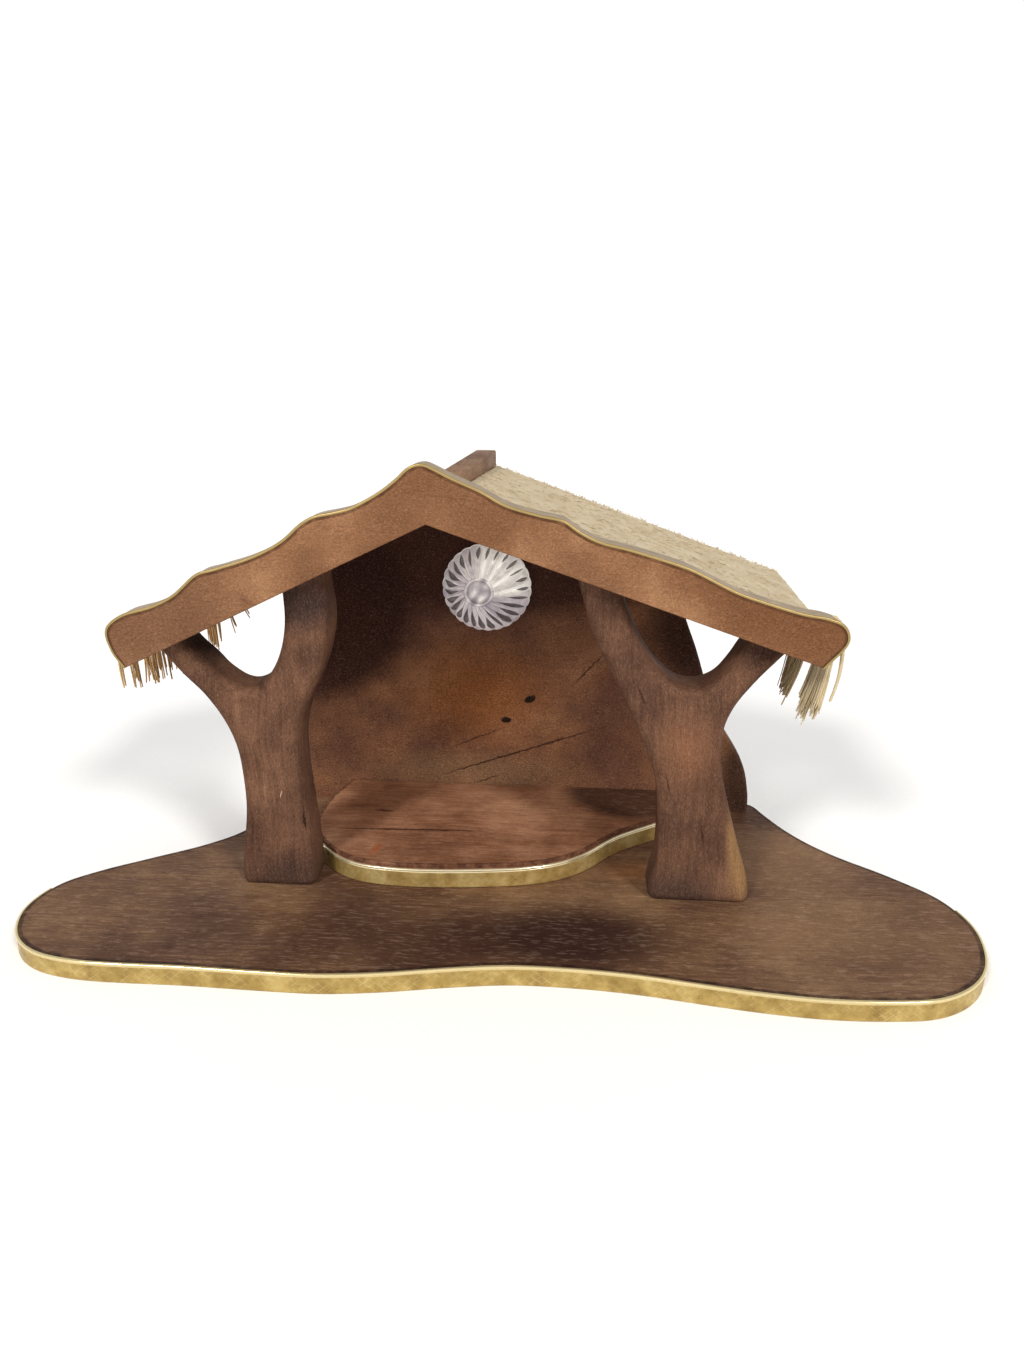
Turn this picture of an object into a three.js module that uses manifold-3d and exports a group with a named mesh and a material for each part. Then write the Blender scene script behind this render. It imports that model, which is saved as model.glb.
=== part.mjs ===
// Nativity stable: a free-form base board with a gable shelter on two forked posts.
// Millimetres. X runs to the right, Y to the back and Z up. The front is at the low Y side.
import * as THREE from 'three';
import { mergeVertices } from 'three/addons/utils/BufferGeometryUtils.js';
import Module from 'manifold-3d';

const wasm = await Module();
wasm.setup();

// Boards
const baseThick = 12.7;
const platformThick = 15.5;
const postThick = 30;
const postRound = 6.5;
const wallThick = 12.7;
const wallRound = 2.5;
const fasciaThick = 16;
const roofBoardThick = 6.4;
const thatchThick = 2;
const poleSize = 13.5;

// Places from front to back
const postFront = -25.5;
const wallFront = 101.5;
const thatchRearHang = 1.2;
const baseRearMargin = 4.3;

// Roof, with heights above the top of the base board
const ridgeX = -18;
const ridgeHeight = 239.3;
const rightRidgeDrop = 4;
const leftSlope = 0.485;
const rightSlope = 0.357;
const leftEaveX = -214;
const rightEaveX = 176;
const armEaveGap = 3;
const poleProud = 11;
const poleAside = -3;
const poleY = 45;
const poleTurn = 4;

// Clearances
const fitGap = 0.3;
const boreGap = 0.3;

// Gold edge trim
const trimThick = 1.1;
const trimLipOut = 0.4;
const trimLipTall = 1.9;
const trimLift = 0.3;
const platformTrimTall = 12.4;

// Star rosette
const starX = -13.8;
const starHeight = 162.2;
const starRadius = 29.9;
const starRise = 22;
const starBossRadius = 9.3;
const starFlutes = 26;
const starBoreDeep = 13;

// Screws, nails and dowels
const screwRadius = 1.9;
const screwHeadRadius = 3.8;
const screwHeadTall = 2.4;
const screwSink = 0.4;
const countersinkNeck = 0.15;
const postScrewLong = 38;
const wallScrewLong = 35;
const platformScrewLong = 22;
const starScrewRadius = 1.75;
const starScrewHeadRadius = 3.2;
const starScrewHeadTall = 2;
const starWasherRadius = 4.6;
const starWasherThick = 0.8;
const nailRadius = 0.8;
const nailHeadRadius = 1.6;
const nailHeadTall = 0.8;
const nailSink = 1;
const nailLong = 20;
const dowelRadius = 2;
const dowelLong = 20;
const leftNailInset = 28;
const rightNailInset = 16;
const leftDowelInset = 39;
const rightDowelInset = 36;

// Eave fringe
const strandsEachEave = 150;
const strandRadius = 0.6;
const fringeSliceWide = 10;
const fringeSliceOut = 5;
const strandInset = 1;
const strandRowsApart = 1.9;
const leftStrandLong = 31;
const rightStrandLong = 47;

// Values worked out from the sizes
const postBack = postFront + postThick;
const postMiddle = postFront + postThick / 2;
const fasciaBack = postFront - fitGap;
const roofFront = postFront;
const roofRear = wallFront + wallThick;
const baseRear = roofRear + baseRearMargin;
const wallMiddle = wallFront + wallThick / 2;
const poleX = ridgeX + poleAside;
const poleTop = baseThick + ridgeHeight + poleProud;
const far = 400;
const runOut = 100;

// Base board outline, from the rear left corner round the front to the rear right corner
const baseEdge = [
  [-149, baseRear], [-158, baseRear - 5.5], [-164, baseRear - 30.5], [-175.8, 46], [-193, 25.5], [-224.5, 2], [-249.3, -16.3],
  [-266, -34], [-272.6, -57], [-270.5, -74], [-261.5, -92], [-246.7, -104.2], [-222, -111.2],
  [-156.5, -112.6], [-121, -113.8], [-86.2, -114.2], [-52.6, -110.3], [-19, -103.8], [15, -98.8],
  [49.5, -98.8], [83.5, -101.8], [116.7, -107.4], [149, -112.7], [181, -115.7], [212.5, -115],
  [238.8, -111], [257.7, -100], [270.6, -83.7], [278, -61.6], [279.3, -38], [270.8, -11],
  [248.3, 15], [220, 40.4], [204.3, 58.8], [191.5, baseRear - 38.5], [182, baseRear - 16.5],
  [177, baseRear - 5.5], [169, baseRear],
];
const baseTrimStart = [-270, -44];
const baseTrimEnd = [277, -25];

// Platform outline as X and distance behind the posts, from its rear left round the front to its rear right
const platformEdge = [
  [-112, 96.7], [-117.8, 76.5], [-121.5, 55.5], [-122, 33.5], [-118.5, 15.5], [-113, 6],
  [-105.8, -3.9], [-94.5, -14.5], [-80, -21.5], [-58, -24.7], [-32, -24.5], [-7, -22], [16.5, -18.2],
  [37, -11], [54, 1.5], [75.5, 27.5], [103.5, 50], [120, 62.5], [128, 77.5], [126, 96.7],
];
const platformTrimStart = [-121.5, 55.5];
const platformTrimEnd = [128, 77.5];

// Post outlines as X and height above the base board; foot and arm ends run past their cuts
const leftPostOuter = [
  [-155.5, -14], [-155.3, 3.5], [-152.9, 25.8], [-150, 48], [-150.1, 69.4], [-152.7, 90.7],
  [-159.7, 108.2], [-169.8, 123], [-180.6, 134.3], [-190.7, 146.8], [-200, 159.3], [-214, 176],
];
const leftPostFork = [
  [-188, 178], [-182, 163], [-175, 151.8], [-166.6, 143.9], [-158.2, 134.7], [-147, 127.8],
  [-138, 128.3], [-129.5, 135.5], [-122.9, 148], [-119, 165], [-118.9, 182.3], [-121, 202], [-126, 220],
];
const leftPostInner = [
  [-92.5, 220], [-95, 196], [-93, 170], [-94.6, 155], [-100.7, 135], [-110.2, 113],
  [-113.7, 97], [-113.8, 76], [-112, 53.5], [-110, 31.5], [-108.9, 12], [-108.6, -14],
];
const rightPostInner = [
  [92.5, -14], [93.3, 2], [95.5, 14], [98, 30], [97.6, 52.7], [96, 72.6], [89.6, 93], [79, 116.5],
  [68.8, 138.6], [56.9, 162], [49.9, 184], [44, 206], [40, 226],
];
const rightPostFork = [
  [64, 218], [68, 201], [72.5, 184], [77, 173], [82.3, 161.2], [88, 152], [95, 144], [103, 137.5],
  [111, 134.6], [120, 136], [127, 140], [134, 149], [139.2, 157.8], [146, 168], [155, 180],
];
const rightPostOuter = [
  [184, 180], [174, 168], [161.7, 154.6], [147.6, 138.4], [137, 123], [132.4, 110], [131.9, 93.5],
  [134.2, 77.9], [139.7, 57.6], [145.3, 38], [153, 12.5], [155, -14],
];

// Back wall sides as X and height above the base board; the roof cuts its top
const wallLeftEdge = [
  [-141, 0], [-143, 18], [-144, 41.3], [-143.2, 59], [-142.2, 71.3], [-136.6, 83.6],
  [-130.8, 99], [-127.2, 122], [-125.5, 150], [-125.5, 215],
];
const wallRightEdge = [
  [107, 215], [113, 165], [120, 142.4], [128.5, 120.5], [133.8, 104.5], [141, 83], [151.3, 61.8],
  [158.3, 50.8], [164, 41], [167.8, 32], [171, 17], [172, 7], [171.6, 0],
];

// Fascia top edge as X and rise above the roof's underside, from its left tip over the apex to its right tip
const fasciaTopEdge = [
  [-204.7, -4.8], [-210.9, 7.8], [-212.9, 20.4], [-204.8, 23.9], [-185.8, 20.9], [-173.8, 21.2],
  [-159, 26.4], [-152.6, 25.3], [-128.2, 21.4], [-111.2, 22.1], [-100.7, 26], [-94, 26.8],
  [-80.6, 23.4], [-72.8, 21.9], [-56.4, 23.1], [-47.7, 25.7], [-41.8, 28.1], [-36.3, 27.2],
  [-31.8, 23.9], [-21.1, 13.5], [-5.5, 13.7], [7.5, 11.4], [26, 12.8], [38.2, 14.6], [46.5, 12.1],
  [57.2, 10.8], [73.1, 12.6], [99.3, 14.3], [107.1, 14.2], [120.4, 12.5], [131.2, 11.3], [149.5, 11.9],
  [165.6, 13.2], [180.4, 15.8], [187.8, 14.8], [190, 8.5], [178.7, -10.6],
];
const fasciaInnerApex = [-33.9, -4.2];

// Places of the screws, nails and dowels
const postScrewXs = [-145, -122, 106, 142];
const wallScrewXs = [-110, 15, 140];
const platformScrewSpots = [[-80, 20.5], [0, 65.5], [75, 65.5]];
const postNailXs = [leftEaveX + leftNailInset, -109, 58, rightEaveX - rightNailInset];
const wallNailXs = [-100, -55, 30, 92];
const dowelXs = [leftEaveX + leftDowelInset, -90, 55, rightEaveX - rightDowelInset];

function solidOf(geometry) {
  const bare = geometry.clone();
  bare.deleteAttribute('normal');
  bare.deleteAttribute('uv');
  const merged = mergeVertices(bare, 1e-4);
  const mesh = new wasm.Mesh({
    numProp: 3,
    vertProperties: new Float32Array(merged.attributes.position.array),
    triVerts: new Uint32Array(merged.index.array),
  });
  return new wasm.Manifold(mesh);
}

function geometryOf(solid) {
  const mesh = solid.getMesh();
  const geometry = new THREE.BufferGeometry();
  geometry.setAttribute('position', new THREE.BufferAttribute(mesh.vertProperties, 3));
  geometry.setIndex(new THREE.BufferAttribute(mesh.triVerts, 1));
  return geometry;
}

function withoutAll(body, cutters) {
  return cutters.reduce((rest, cutter) => rest.subtract(cutter), body);
}

function togetherAll(solids) {
  return solids.reduce((sum, solid) => sum.add(solid));
}

// A smooth curve through the points, cut into even steps
function smoothRun(points, steps) {
  const knots = points.map(([u, v]) => new THREE.Vector3(u, v, 0));
  const curve = new THREE.CatmullRomCurve3(knots, false, 'centripetal');
  return curve.getSpacedPoints(steps).map((p) => new THREE.Vector2(p.x, p.y));
}

// A run that goes straight on past both its ends, where another piece or a cut will end it
function runPast(run) {
  const first = run[0].clone().sub(run[1]).setLength(runOut).add(run[0]);
  const last = run.at(-1).clone().sub(run.at(-2)).setLength(runOut).add(run.at(-1));
  return [first, ...run, last];
}

// A board that lies flat, from its outline in X and Y
function flatBoard(outline, thick, bottom) {
  const geometry = new THREE.ExtrudeGeometry(new THREE.Shape(outline), { depth: thick, bevelEnabled: false });
  return geometry.translate(0, 0, bottom);
}

// A board that stands up with sharp arrises, from its outline in X and Z
function standingBoard(outline, thick, front) {
  const geometry = new THREE.ExtrudeGeometry(new THREE.Shape(outline), { depth: thick, bevelEnabled: false });
  return geometry.rotateX(Math.PI / 2).translate(0, front + thick, 0);
}

// The unit normals of a closed outline, to the right hand of its travel
function loopNormals(outline) {
  const count = outline.length;
  return outline.map((point, i) => {
    const along = outline[(i + 1) % count].clone().sub(outline[(i + count - 1) % count]).normalize();
    return new THREE.Vector2(along.y, -along.x);
  });
}

// A standing board whose front and back arrises are quarter rounds
function roundedBoard(outline, thick, front, round, roundSteps) {
  const outward = THREE.ShapeUtils.isClockWise(outline) ? -1 : 1;
  const normals = loopNormals(outline);
  const quarter = [...Array(roundSteps + 1).keys()].map((k) => {
    const angle = (k * Math.PI) / 2 / roundSteps;
    return [round * (1 - Math.cos(angle)), round * (1 - Math.sin(angle))];
  });
  const layers = [...quarter, ...quarter.map(([deep, inset]) => [thick - deep, inset]).reverse()];
  const positions = [];
  layers.forEach(([deep, inset]) => {
    outline.forEach((point, i) => {
      const shift = outward * inset;
      positions.push(point.x - normals[i].x * shift, front + deep, point.y - normals[i].y * shift);
    });
  });
  const count = outline.length;
  const index = [];
  for (let k = 0; k < layers.length - 1; k += 1) {
    for (let i = 0; i < count; i += 1) {
      const a = k * count + i;
      const b = k * count + ((i + 1) % count);
      index.push(a, b, b + count, a, b + count, a + count);
    }
  }
  const last = (layers.length - 1) * count;
  THREE.ShapeUtils.triangulateShape(outline, []).forEach(([a, b, c]) => {
    const [p, q] = outward > 0 ? [b, c] : [c, b];
    index.push(a, q, p);
    index.push(last + a, last + p, last + q);
  });
  return closedGeometry(positions, index);
}

function leftUnder(x) {
  return baseThick + ridgeHeight - leftSlope * (ridgeX - x);
}

function rightUnder(x) {
  return baseThick + ridgeHeight - rightRidgeDrop - rightSlope * (x - ridgeX);
}

// The space below both roof boards, between the eaves
function underRoof() {
  const meetX = ridgeX - rightRidgeDrop / (leftSlope + rightSlope);
  const left = leftEaveX + armEaveGap;
  const right = rightEaveX - armEaveGap;
  const outline = [
    new THREE.Vector2(left, baseThick - far),
    new THREE.Vector2(right, baseThick - far),
    new THREE.Vector2(right, rightUnder(right) - fitGap),
    new THREE.Vector2(meetX, rightUnder(meetX) - fitGap),
    new THREE.Vector2(left, leftUnder(left) - fitGap),
  ];
  return solidOf(standingBoard(outline, 2 * far, -far));
}

function blockBetween(low, high) {
  const size = [0, 1, 2].map((i) => high[i] - low[i]);
  const middle = [0, 1, 2].map((i) => (high[i] + low[i]) / 2);
  return solidOf(new THREE.BoxGeometry(...size).translate(...middle));
}

function aboveBase() {
  return blockBetween([-far, -far, baseThick], [far, far, far]);
}

function beforeWall() {
  return blockBetween([-far, -far, 0], [far, wallFront - fitGap, far]);
}

function behindPosts([x, distance]) {
  return [x, postBack + distance];
}

// A round pin along Z whose head, if it is wider, is at the lower end
function pin(shankRadius, length, headRadius, headTall, countersunk, steps) {
  const neck = countersunk ? headTall * countersinkNeck : headTall;
  const profile = [
    new THREE.Vector2(0, 0),
    new THREE.Vector2(headRadius, 0),
    new THREE.Vector2(headRadius, neck),
    new THREE.Vector2(shankRadius, headTall),
    new THREE.Vector2(shankRadius, length),
    new THREE.Vector2(0, length),
  ];
  return new THREE.LatheGeometry(profile, steps).rotateX(Math.PI / 2);
}

function screwFromBelow(x, y, length) {
  const geometry = pin(screwRadius, length, screwHeadRadius, screwHeadTall, true, 12);
  return solidOf(geometry.translate(x, y, screwSink));
}

// The bore of a screw from below, with its countersink open at the underside of the base board
function screwBore(x, y, length) {
  const head = screwHeadRadius + boreGap;
  const bore = pin(screwRadius + boreGap, length + boreGap, head, screwHeadTall, true, 12);
  const mouth = new THREE.CylinderGeometry(head, head, 2 * screwSink + 0.1, 12).rotateX(Math.PI / 2);
  return solidOf(bore.translate(x, y, screwSink)).add(solidOf(mouth.translate(x, y, 0)));
}

function postScrewBores() {
  return postScrewXs.map((x) => screwBore(x, postMiddle, postScrewLong));
}

function wallScrewBores() {
  return wallScrewXs.map((x) => screwBore(x, wallMiddle, wallScrewLong));
}

function platformScrewBores() {
  return platformScrewSpots.map(behindPosts).map(([x, y]) => screwBore(x, y, platformScrewLong));
}

function roofUnder(x) {
  return x < ridgeX ? leftUnder(x) : rightUnder(x);
}

// The spots of the roof nails, each with the middle of the piece it goes into
function nailSpots() {
  const inPosts = postNailXs.map((x) => [x, postMiddle]);
  const inWall = wallNailXs.map((x) => [x, wallMiddle]);
  return [...inPosts, ...inWall];
}

function roofNail(x, y, widen) {
  const geometry = pin(nailRadius + widen, nailLong + 2 * widen, nailHeadRadius + widen, nailHeadTall + 2 * widen, false, 10);
  geometry.rotateX(Math.PI);
  return solidOf(geometry.translate(x, y, roofUnder(x) + roofBoardThick - nailSink + widen));
}

function nailBores() {
  return nailSpots().map(([x, y]) => {
    const head = nailHeadRadius + boreGap;
    const open = new THREE.CylinderGeometry(head, head, roofBoardThick, 10).rotateX(Math.PI / 2);
    const mouth = solidOf(open.translate(x, y, roofUnder(x) + roofBoardThick * 1.5 - nailSink));
    return roofNail(x, y, boreGap).add(mouth);
  });
}

function dowel(x, widen) {
  const radius = dowelRadius + widen;
  const geometry = new THREE.CylinderGeometry(radius, radius, dowelLong + 2 * widen, 12);
  return solidOf(geometry.translate(x, fasciaBack, roofUnder(x) + roofBoardThick / 2));
}

function dowelBores() {
  return dowelXs.map((x) => dowel(x, boreGap));
}

function baseOutline() {
  return smoothRun(baseEdge, 112);
}

function baseBoard() {
  const board = solidOf(flatBoard(baseOutline(), baseThick, 0));
  return withoutAll(board, [...postScrewBores(), ...wallScrewBores(), ...platformScrewBores()]);
}

function platformRun() {
  return smoothRun(platformEdge.map(behindPosts), 66);
}

function platformBoard() {
  const board = solidOf(flatBoard(runPast(platformRun()), platformThick, baseThick));
  return withoutAll(board.intersect(beforeWall()), platformScrewBores());
}

// The unit normals of a run, to the right hand of its travel
function runNormals(run) {
  return run.map((point, i) => {
    const before = run[Math.max(i - 1, 0)];
    const after = run[Math.min(i + 1, run.length - 1)];
    const along = after.clone().sub(before).normalize();
    return new THREE.Vector2(along.y, -along.x);
  });
}

function nearestIndex(run, [u, v]) {
  const spot = new THREE.Vector2(u, v);
  const distances = run.map((point) => point.distanceTo(spot));
  return distances.indexOf(Math.min(...distances));
}

function signedVolume(positions, index) {
  let sum = 0;
  for (let i = 0; i < index.length; i += 3) {
    const [a, b, c] = [0, 1, 2].map((k) => new THREE.Vector3().fromArray(positions, index[i + k] * 3));
    sum += a.dot(b.cross(c));
  }
  return sum;
}

function closedGeometry(positions, index) {
  if (signedVolume(positions, index) < 0) index.reverse();
  const geometry = new THREE.BufferGeometry();
  geometry.setAttribute('position', new THREE.Float32BufferAttribute(positions, 3));
  geometry.setIndex(index);
  return geometry;
}

// A strip along a run. Its section is given as outward distance and height; place maps them to X, Y, Z
function strip(run, section, outward, place) {
  const normals = runNormals(run);
  const positions = [];
  const index = [];
  run.forEach((point, i) => {
    section.forEach(([out, up]) => {
      const u = point.x + outward * normals[i].x * out;
      const v = point.y + outward * normals[i].y * out;
      positions.push(...place(u, v, up));
    });
  });
  const n = section.length;
  for (let i = 0; i < run.length - 1; i += 1) {
    for (let k = 0; k < n; k += 1) {
      const next = (k + 1) % n;
      const a = i * n;
      const b = (i + 1) * n;
      index.push(a + k, a + next, b + next, a + k, b + next, b + k);
    }
  }
  const ends = THREE.ShapeUtils.triangulateShape(section.map(([out, up]) => new THREE.Vector2(out, up)), []);
  const last = (run.length - 1) * n;
  ends.forEach(([a, b, c]) => {
    index.push(c, b, a);
    index.push(last + a, last + b, last + c);
  });
  return solidOf(closedGeometry(positions, index));
}

// The section of the gold trim: a thin band with a proud lip along one edge
function trimSection(tall) {
  const inner = fitGap;
  const outer = fitGap + trimThick;
  const lip = outer + trimLipOut;
  return [
    [inner, 0], [outer, 0], [outer, tall - trimLipTall], [lip, tall - 0.7 * trimLipTall],
    [lip, tall - 0.2 * trimLipTall], [outer, tall], [inner, tall],
  ];
}

function baseEdgeTrim() {
  const edge = baseOutline();
  const run = edge.slice(nearestIndex(edge, baseTrimStart), nearestIndex(edge, baseTrimEnd) + 1);
  return strip(run, trimSection(baseThick - trimLift), 1, (x, y, up) => [x, y, trimLift + up]);
}

function platformEdgeTrim() {
  const edge = platformRun();
  const start = nearestIndex(edge, behindPosts(platformTrimStart));
  const end = nearestIndex(edge, behindPosts(platformTrimEnd));
  const place = (x, y, up) => [x, y, baseThick + trimLift + up];
  return strip(edge.slice(start, end + 1), trimSection(platformTrimTall), 1, place).intersect(beforeWall());
}

function forkedPost(runs) {
  const outline = runs.flatMap(([points, steps]) => runPast(smoothRun(points, steps)));
  const board = roundedBoard(outline, postThick, postFront, postRound, 3);
  const post = solidOf(board.translate(0, 0, baseThick));
  const trimmed = post.intersect(aboveBase()).intersect(underRoof());
  return withoutAll(trimmed, [...postScrewBores(), ...nailBores()]);
}

function leftPost() {
  return forkedPost([[leftPostOuter, 22], [leftPostFork, 24], [leftPostInner, 20]]);
}

function rightPost() {
  return forkedPost([[rightPostInner, 24], [rightPostFork, 24], [rightPostOuter, 22]]);
}

function backWall() {
  const outline = [...runPast(smoothRun(wallRightEdge, 26)), ...runPast(smoothRun(wallLeftEdge, 22))];
  const board = roundedBoard(outline, wallThick, wallFront, wallRound, 2);
  const wall = solidOf(board.translate(0, 0, baseThick));
  const trimmed = wall.intersect(aboveBase()).intersect(underRoof());
  return withoutAll(trimmed, [poleBlock(fitGap), starBore(), ...wallScrewBores(), ...nailBores()]);
}

function starBore() {
  const radius = starScrewRadius + boreGap;
  const geometry = new THREE.CylinderGeometry(radius, radius, 4 * wallThick, 16);
  return solidOf(geometry.translate(starX, wallMiddle, baseThick + starHeight));
}

function besideRoof([x, rise]) {
  return [x, roofUnder(x) + rise];
}

function fasciaRun() {
  return smoothRun(fasciaTopEdge.map(besideRoof), 104);
}

function fasciaBoard() {
  const apex = new THREE.Vector2(...besideRoof(fasciaInnerApex));
  const fascia = solidOf(standingBoard([...fasciaRun(), apex], fasciaThick, fasciaBack - fasciaThick));
  return withoutAll(fascia, [...dowelBores(), poleDowel(boreGap)]);
}

function fasciaEdgeTrim() {
  const place = (x, z, up) => [x, fasciaBack - up, z];
  return strip(fasciaRun(), trimSection(fasciaThick), -1, place);
}

// The ridge pole, turned a little in plan, cut square with the fascia and the rear of the roof
function poleBlock(widen) {
  const wide = poleSize + 2 * widen;
  const geometry = new THREE.BoxGeometry(wide, far, wide);
  geometry.rotateZ(-THREE.MathUtils.degToRad(poleTurn));
  return solidOf(geometry.translate(poleX, poleY, poleTop - poleSize / 2));
}

function poleLine(y) {
  return poleX + Math.tan(THREE.MathUtils.degToRad(poleTurn)) * (y - poleY);
}

function poleDowel(widen) {
  const radius = dowelRadius + widen;
  const geometry = new THREE.CylinderGeometry(radius, radius, dowelLong + 2 * widen, 12);
  return solidOf(geometry.translate(poleLine(fasciaBack), fasciaBack, poleTop - poleSize / 2));
}

function ridgePole() {
  const pole = poleBlock(0).intersect(blockBetween([-far, roofFront, 0], [far, roofRear, far]));
  return pole.subtract(poleDowel(boreGap));
}

// A plate that follows a roof slope, from its outline in plan and its underside at X
function slopingPlate(outline, thick, under) {
  const geometry = flatBoard(outline, thick, 0);
  const rise = under(1) - under(0);
  const shear = new THREE.Matrix4().set(1, 0, 0, 0, 0, 1, 0, 0, rise, 0, 1, under(0), 0, 0, 0, 1);
  return solidOf(geometry.applyMatrix4(shear));
}

// The plan of a roof board or mat, between the ridge pole and the given X near the eave
function slopePlan(side, eave, rear) {
  const beside = side * (poleSize / 2 / Math.cos(THREE.MathUtils.degToRad(poleTurn)) + fitGap);
  const plan = [
    new THREE.Vector2(poleLine(roofFront) + beside, roofFront),
    new THREE.Vector2(eave, roofFront),
    new THREE.Vector2(eave, rear),
    new THREE.Vector2(poleLine(rear) + beside, rear),
  ];
  return side > 0 ? plan : plan.reverse();
}

function roofBoard(side) {
  const eave = side > 0 ? rightEaveX : leftEaveX;
  const board = slopingPlate(slopePlan(side, eave, roofRear), roofBoardThick, side > 0 ? rightUnder : leftUnder);
  return withoutAll(board, [...nailBores(), ...dowelBores()]);
}

function matUnder(side) {
  const under = side > 0 ? rightUnder : leftUnder;
  return (x) => under(x) + roofBoardThick + fitGap;
}

function sliceInner(side) {
  const eave = side > 0 ? rightEaveX : leftEaveX;
  return eave + side * (fringeSliceOut - fringeSliceWide);
}

function thatch(side) {
  const eave = sliceInner(side) - side * fitGap;
  return slopingPlate(slopePlan(side, eave, roofRear + thatchRearHang), thatchThick, matUnder(side));
}

// A repeatable spread between 0 and 1 for the number of a strand
function spread(number) {
  const value = Math.sin(number * 12.9898) * 43758.5453;
  return value - Math.floor(value);
}

// One strand of three sides that hangs from inside the slice; the tips lean together, so none cross
function strand(side, number, long) {
  const under = matUnder(side);
  const row = number % 2;
  const place = number / (strandsEachEave - 1);
  const margin = 3 * strandRadius;
  const y = roofFront + margin + place * (roofRear - roofFront - 2 * margin);
  const eave = side > 0 ? rightEaveX : leftEaveX;
  const x = eave + side * (fringeSliceOut - strandInset - strandRowsApart * row);
  const top = under(x) + thatchThick / 2;
  const drop = long * (0.72 + 0.2 * Math.sin(9 * place + side) + 0.22 * spread(number + 7 * side));
  const leanX = -side * (side > 0 ? 0.13 : 0.03) * drop;
  const leanY = 2.2 * Math.sin(14 * place);
  const positions = [];
  [0, 1].forEach((end) => {
    const radius = strandRadius * (1 - 0.4 * end);
    [0, 1, 2].forEach((corner) => {
      const angle = (corner * 2 * Math.PI) / 3;
      const px = x + end * leanX + radius * Math.cos(angle);
      const py = y + end * leanY + radius * Math.sin(angle);
      positions.push(px, py, top - end * (drop + thatchThick / 2));
    });
  });
  const index = [0, 2, 1, 3, 4, 5, 0, 1, 4, 0, 4, 3, 1, 2, 5, 1, 5, 4, 2, 0, 3, 2, 3, 5];
  return solidOf(closedGeometry(positions, index));
}

function eaveFringe(side) {
  const inner = sliceInner(side);
  const outer = inner + side * fringeSliceWide;
  const corners = [[inner, roofFront], [outer, roofFront], [outer, roofRear], [inner, roofRear]];
  const plan = corners.map(([x, y]) => new THREE.Vector2(x, y));
  const slice = slopingPlate(side > 0 ? plan : plan.reverse(), thatchThick, matUnder(side));
  const long = side > 0 ? rightStrandLong : leftStrandLong;
  const numbers = [...Array(strandsEachEave).keys()];
  return togetherAll([slice, ...numbers.map((number) => strand(side, number, long))]);
}

// The fluted glass dome, built from rings round its axis; the flutes are deepest half way up
function starRosette() {
  const bore = starScrewRadius + boreGap;
  const rings = [
    [bore, starBoreDeep, 0], [bore, 0, 0], [0.97 * starRadius, 0, 0.03], [starRadius, 1.4, 0.05],
    [0.985 * starRadius, 4.2, 0.06], [0.86 * starRadius, 0.5 * starRise, 0.1],
    [0.68 * starRadius, 0.76 * starRise, 0.11], [0.48 * starRadius, 0.93 * starRise, 0.08],
    [starBossRadius, 0.97 * starRise, 0], [starBossRadius - 0.6, starRise, 0],
  ];
  const steps = starFlutes * 4;
  const positions = [0, starBoreDeep, 0];
  rings.forEach(([radius, rise, flute]) => {
    for (let i = 0; i < steps; i += 1) {
      const angle = (i * 2 * Math.PI) / steps;
      const r = radius * (1 - flute * 0.5 * (1 - Math.cos(starFlutes * angle)));
      positions.push(r * Math.cos(angle), rise, r * Math.sin(angle));
    }
  });
  positions.push(0, starRise, 0);
  const index = [];
  const last = positions.length / 3 - 1;
  const lastRing = 1 + (rings.length - 1) * steps;
  for (let i = 0; i < steps; i += 1) {
    const next = (i + 1) % steps;
    index.push(0, 1 + i, 1 + next);
    index.push(last, lastRing + next, lastRing + i);
    for (let k = 0; k < rings.length - 1; k += 1) {
      const a = 1 + k * steps;
      const b = a + steps;
      index.push(a + i, b + i, b + next, a + i, b + next, a + next);
    }
  }
  const geometry = closedGeometry(positions, index).rotateX(Math.PI);
  return solidOf(geometry.translate(starX, wallFront - fitGap, baseThick + starHeight));
}

// The star screw's head is on a washer behind the wall, and its tip ends inside the rosette's boss
function starScrew() {
  const headSeat = wallFront + wallThick + fitGap + starWasherThick + fitGap;
  const tip = wallFront - starBoreDeep + 1;
  const length = headSeat + starScrewHeadTall - tip;
  const geometry = pin(starScrewRadius, length, starScrewHeadRadius, starScrewHeadTall, false, 16);
  geometry.rotateX(Math.PI / 2);
  return solidOf(geometry.translate(starX, headSeat + starScrewHeadTall, baseThick + starHeight));
}

function starWasher() {
  const middle = wallFront + wallThick + fitGap + starWasherThick / 2;
  const disc = new THREE.CylinderGeometry(starWasherRadius, starWasherRadius, starWasherThick, 20);
  const washer = solidOf(disc.translate(starX, middle, baseThick + starHeight));
  return washer.subtract(starBore());
}

function screws(spots, length) {
  return spots.map(([x, y]) => screwFromBelow(x, y, length));
}

function roofNails() {
  return nailSpots().map(([x, y]) => roofNail(x, y, 0));
}

function fasciaDowels() {
  return [...dowelXs.map((x) => dowel(x, 0)), poleDowel(0)];
}

function brownBoardMaterial() {
  return new THREE.MeshStandardMaterial({ color: '#6f4c33', roughness: 0.6 });
}

function darkPostMaterial() {
  return new THREE.MeshStandardMaterial({ color: '#64432f', roughness: 0.6 });
}

function lightBoardMaterial() {
  return new THREE.MeshStandardMaterial({ color: '#9a6c4c', roughness: 0.6 });
}

function redBoardMaterial() {
  return new THREE.MeshStandardMaterial({ color: '#77503a', roughness: 0.55 });
}

function plainBoardMaterial() {
  return new THREE.MeshStandardMaterial({ color: '#8b6b4c', roughness: 0.7 });
}

function goldTrimMaterial() {
  return new THREE.MeshStandardMaterial({ color: '#cdac64', roughness: 0.3, metalness: 1 });
}

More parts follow.
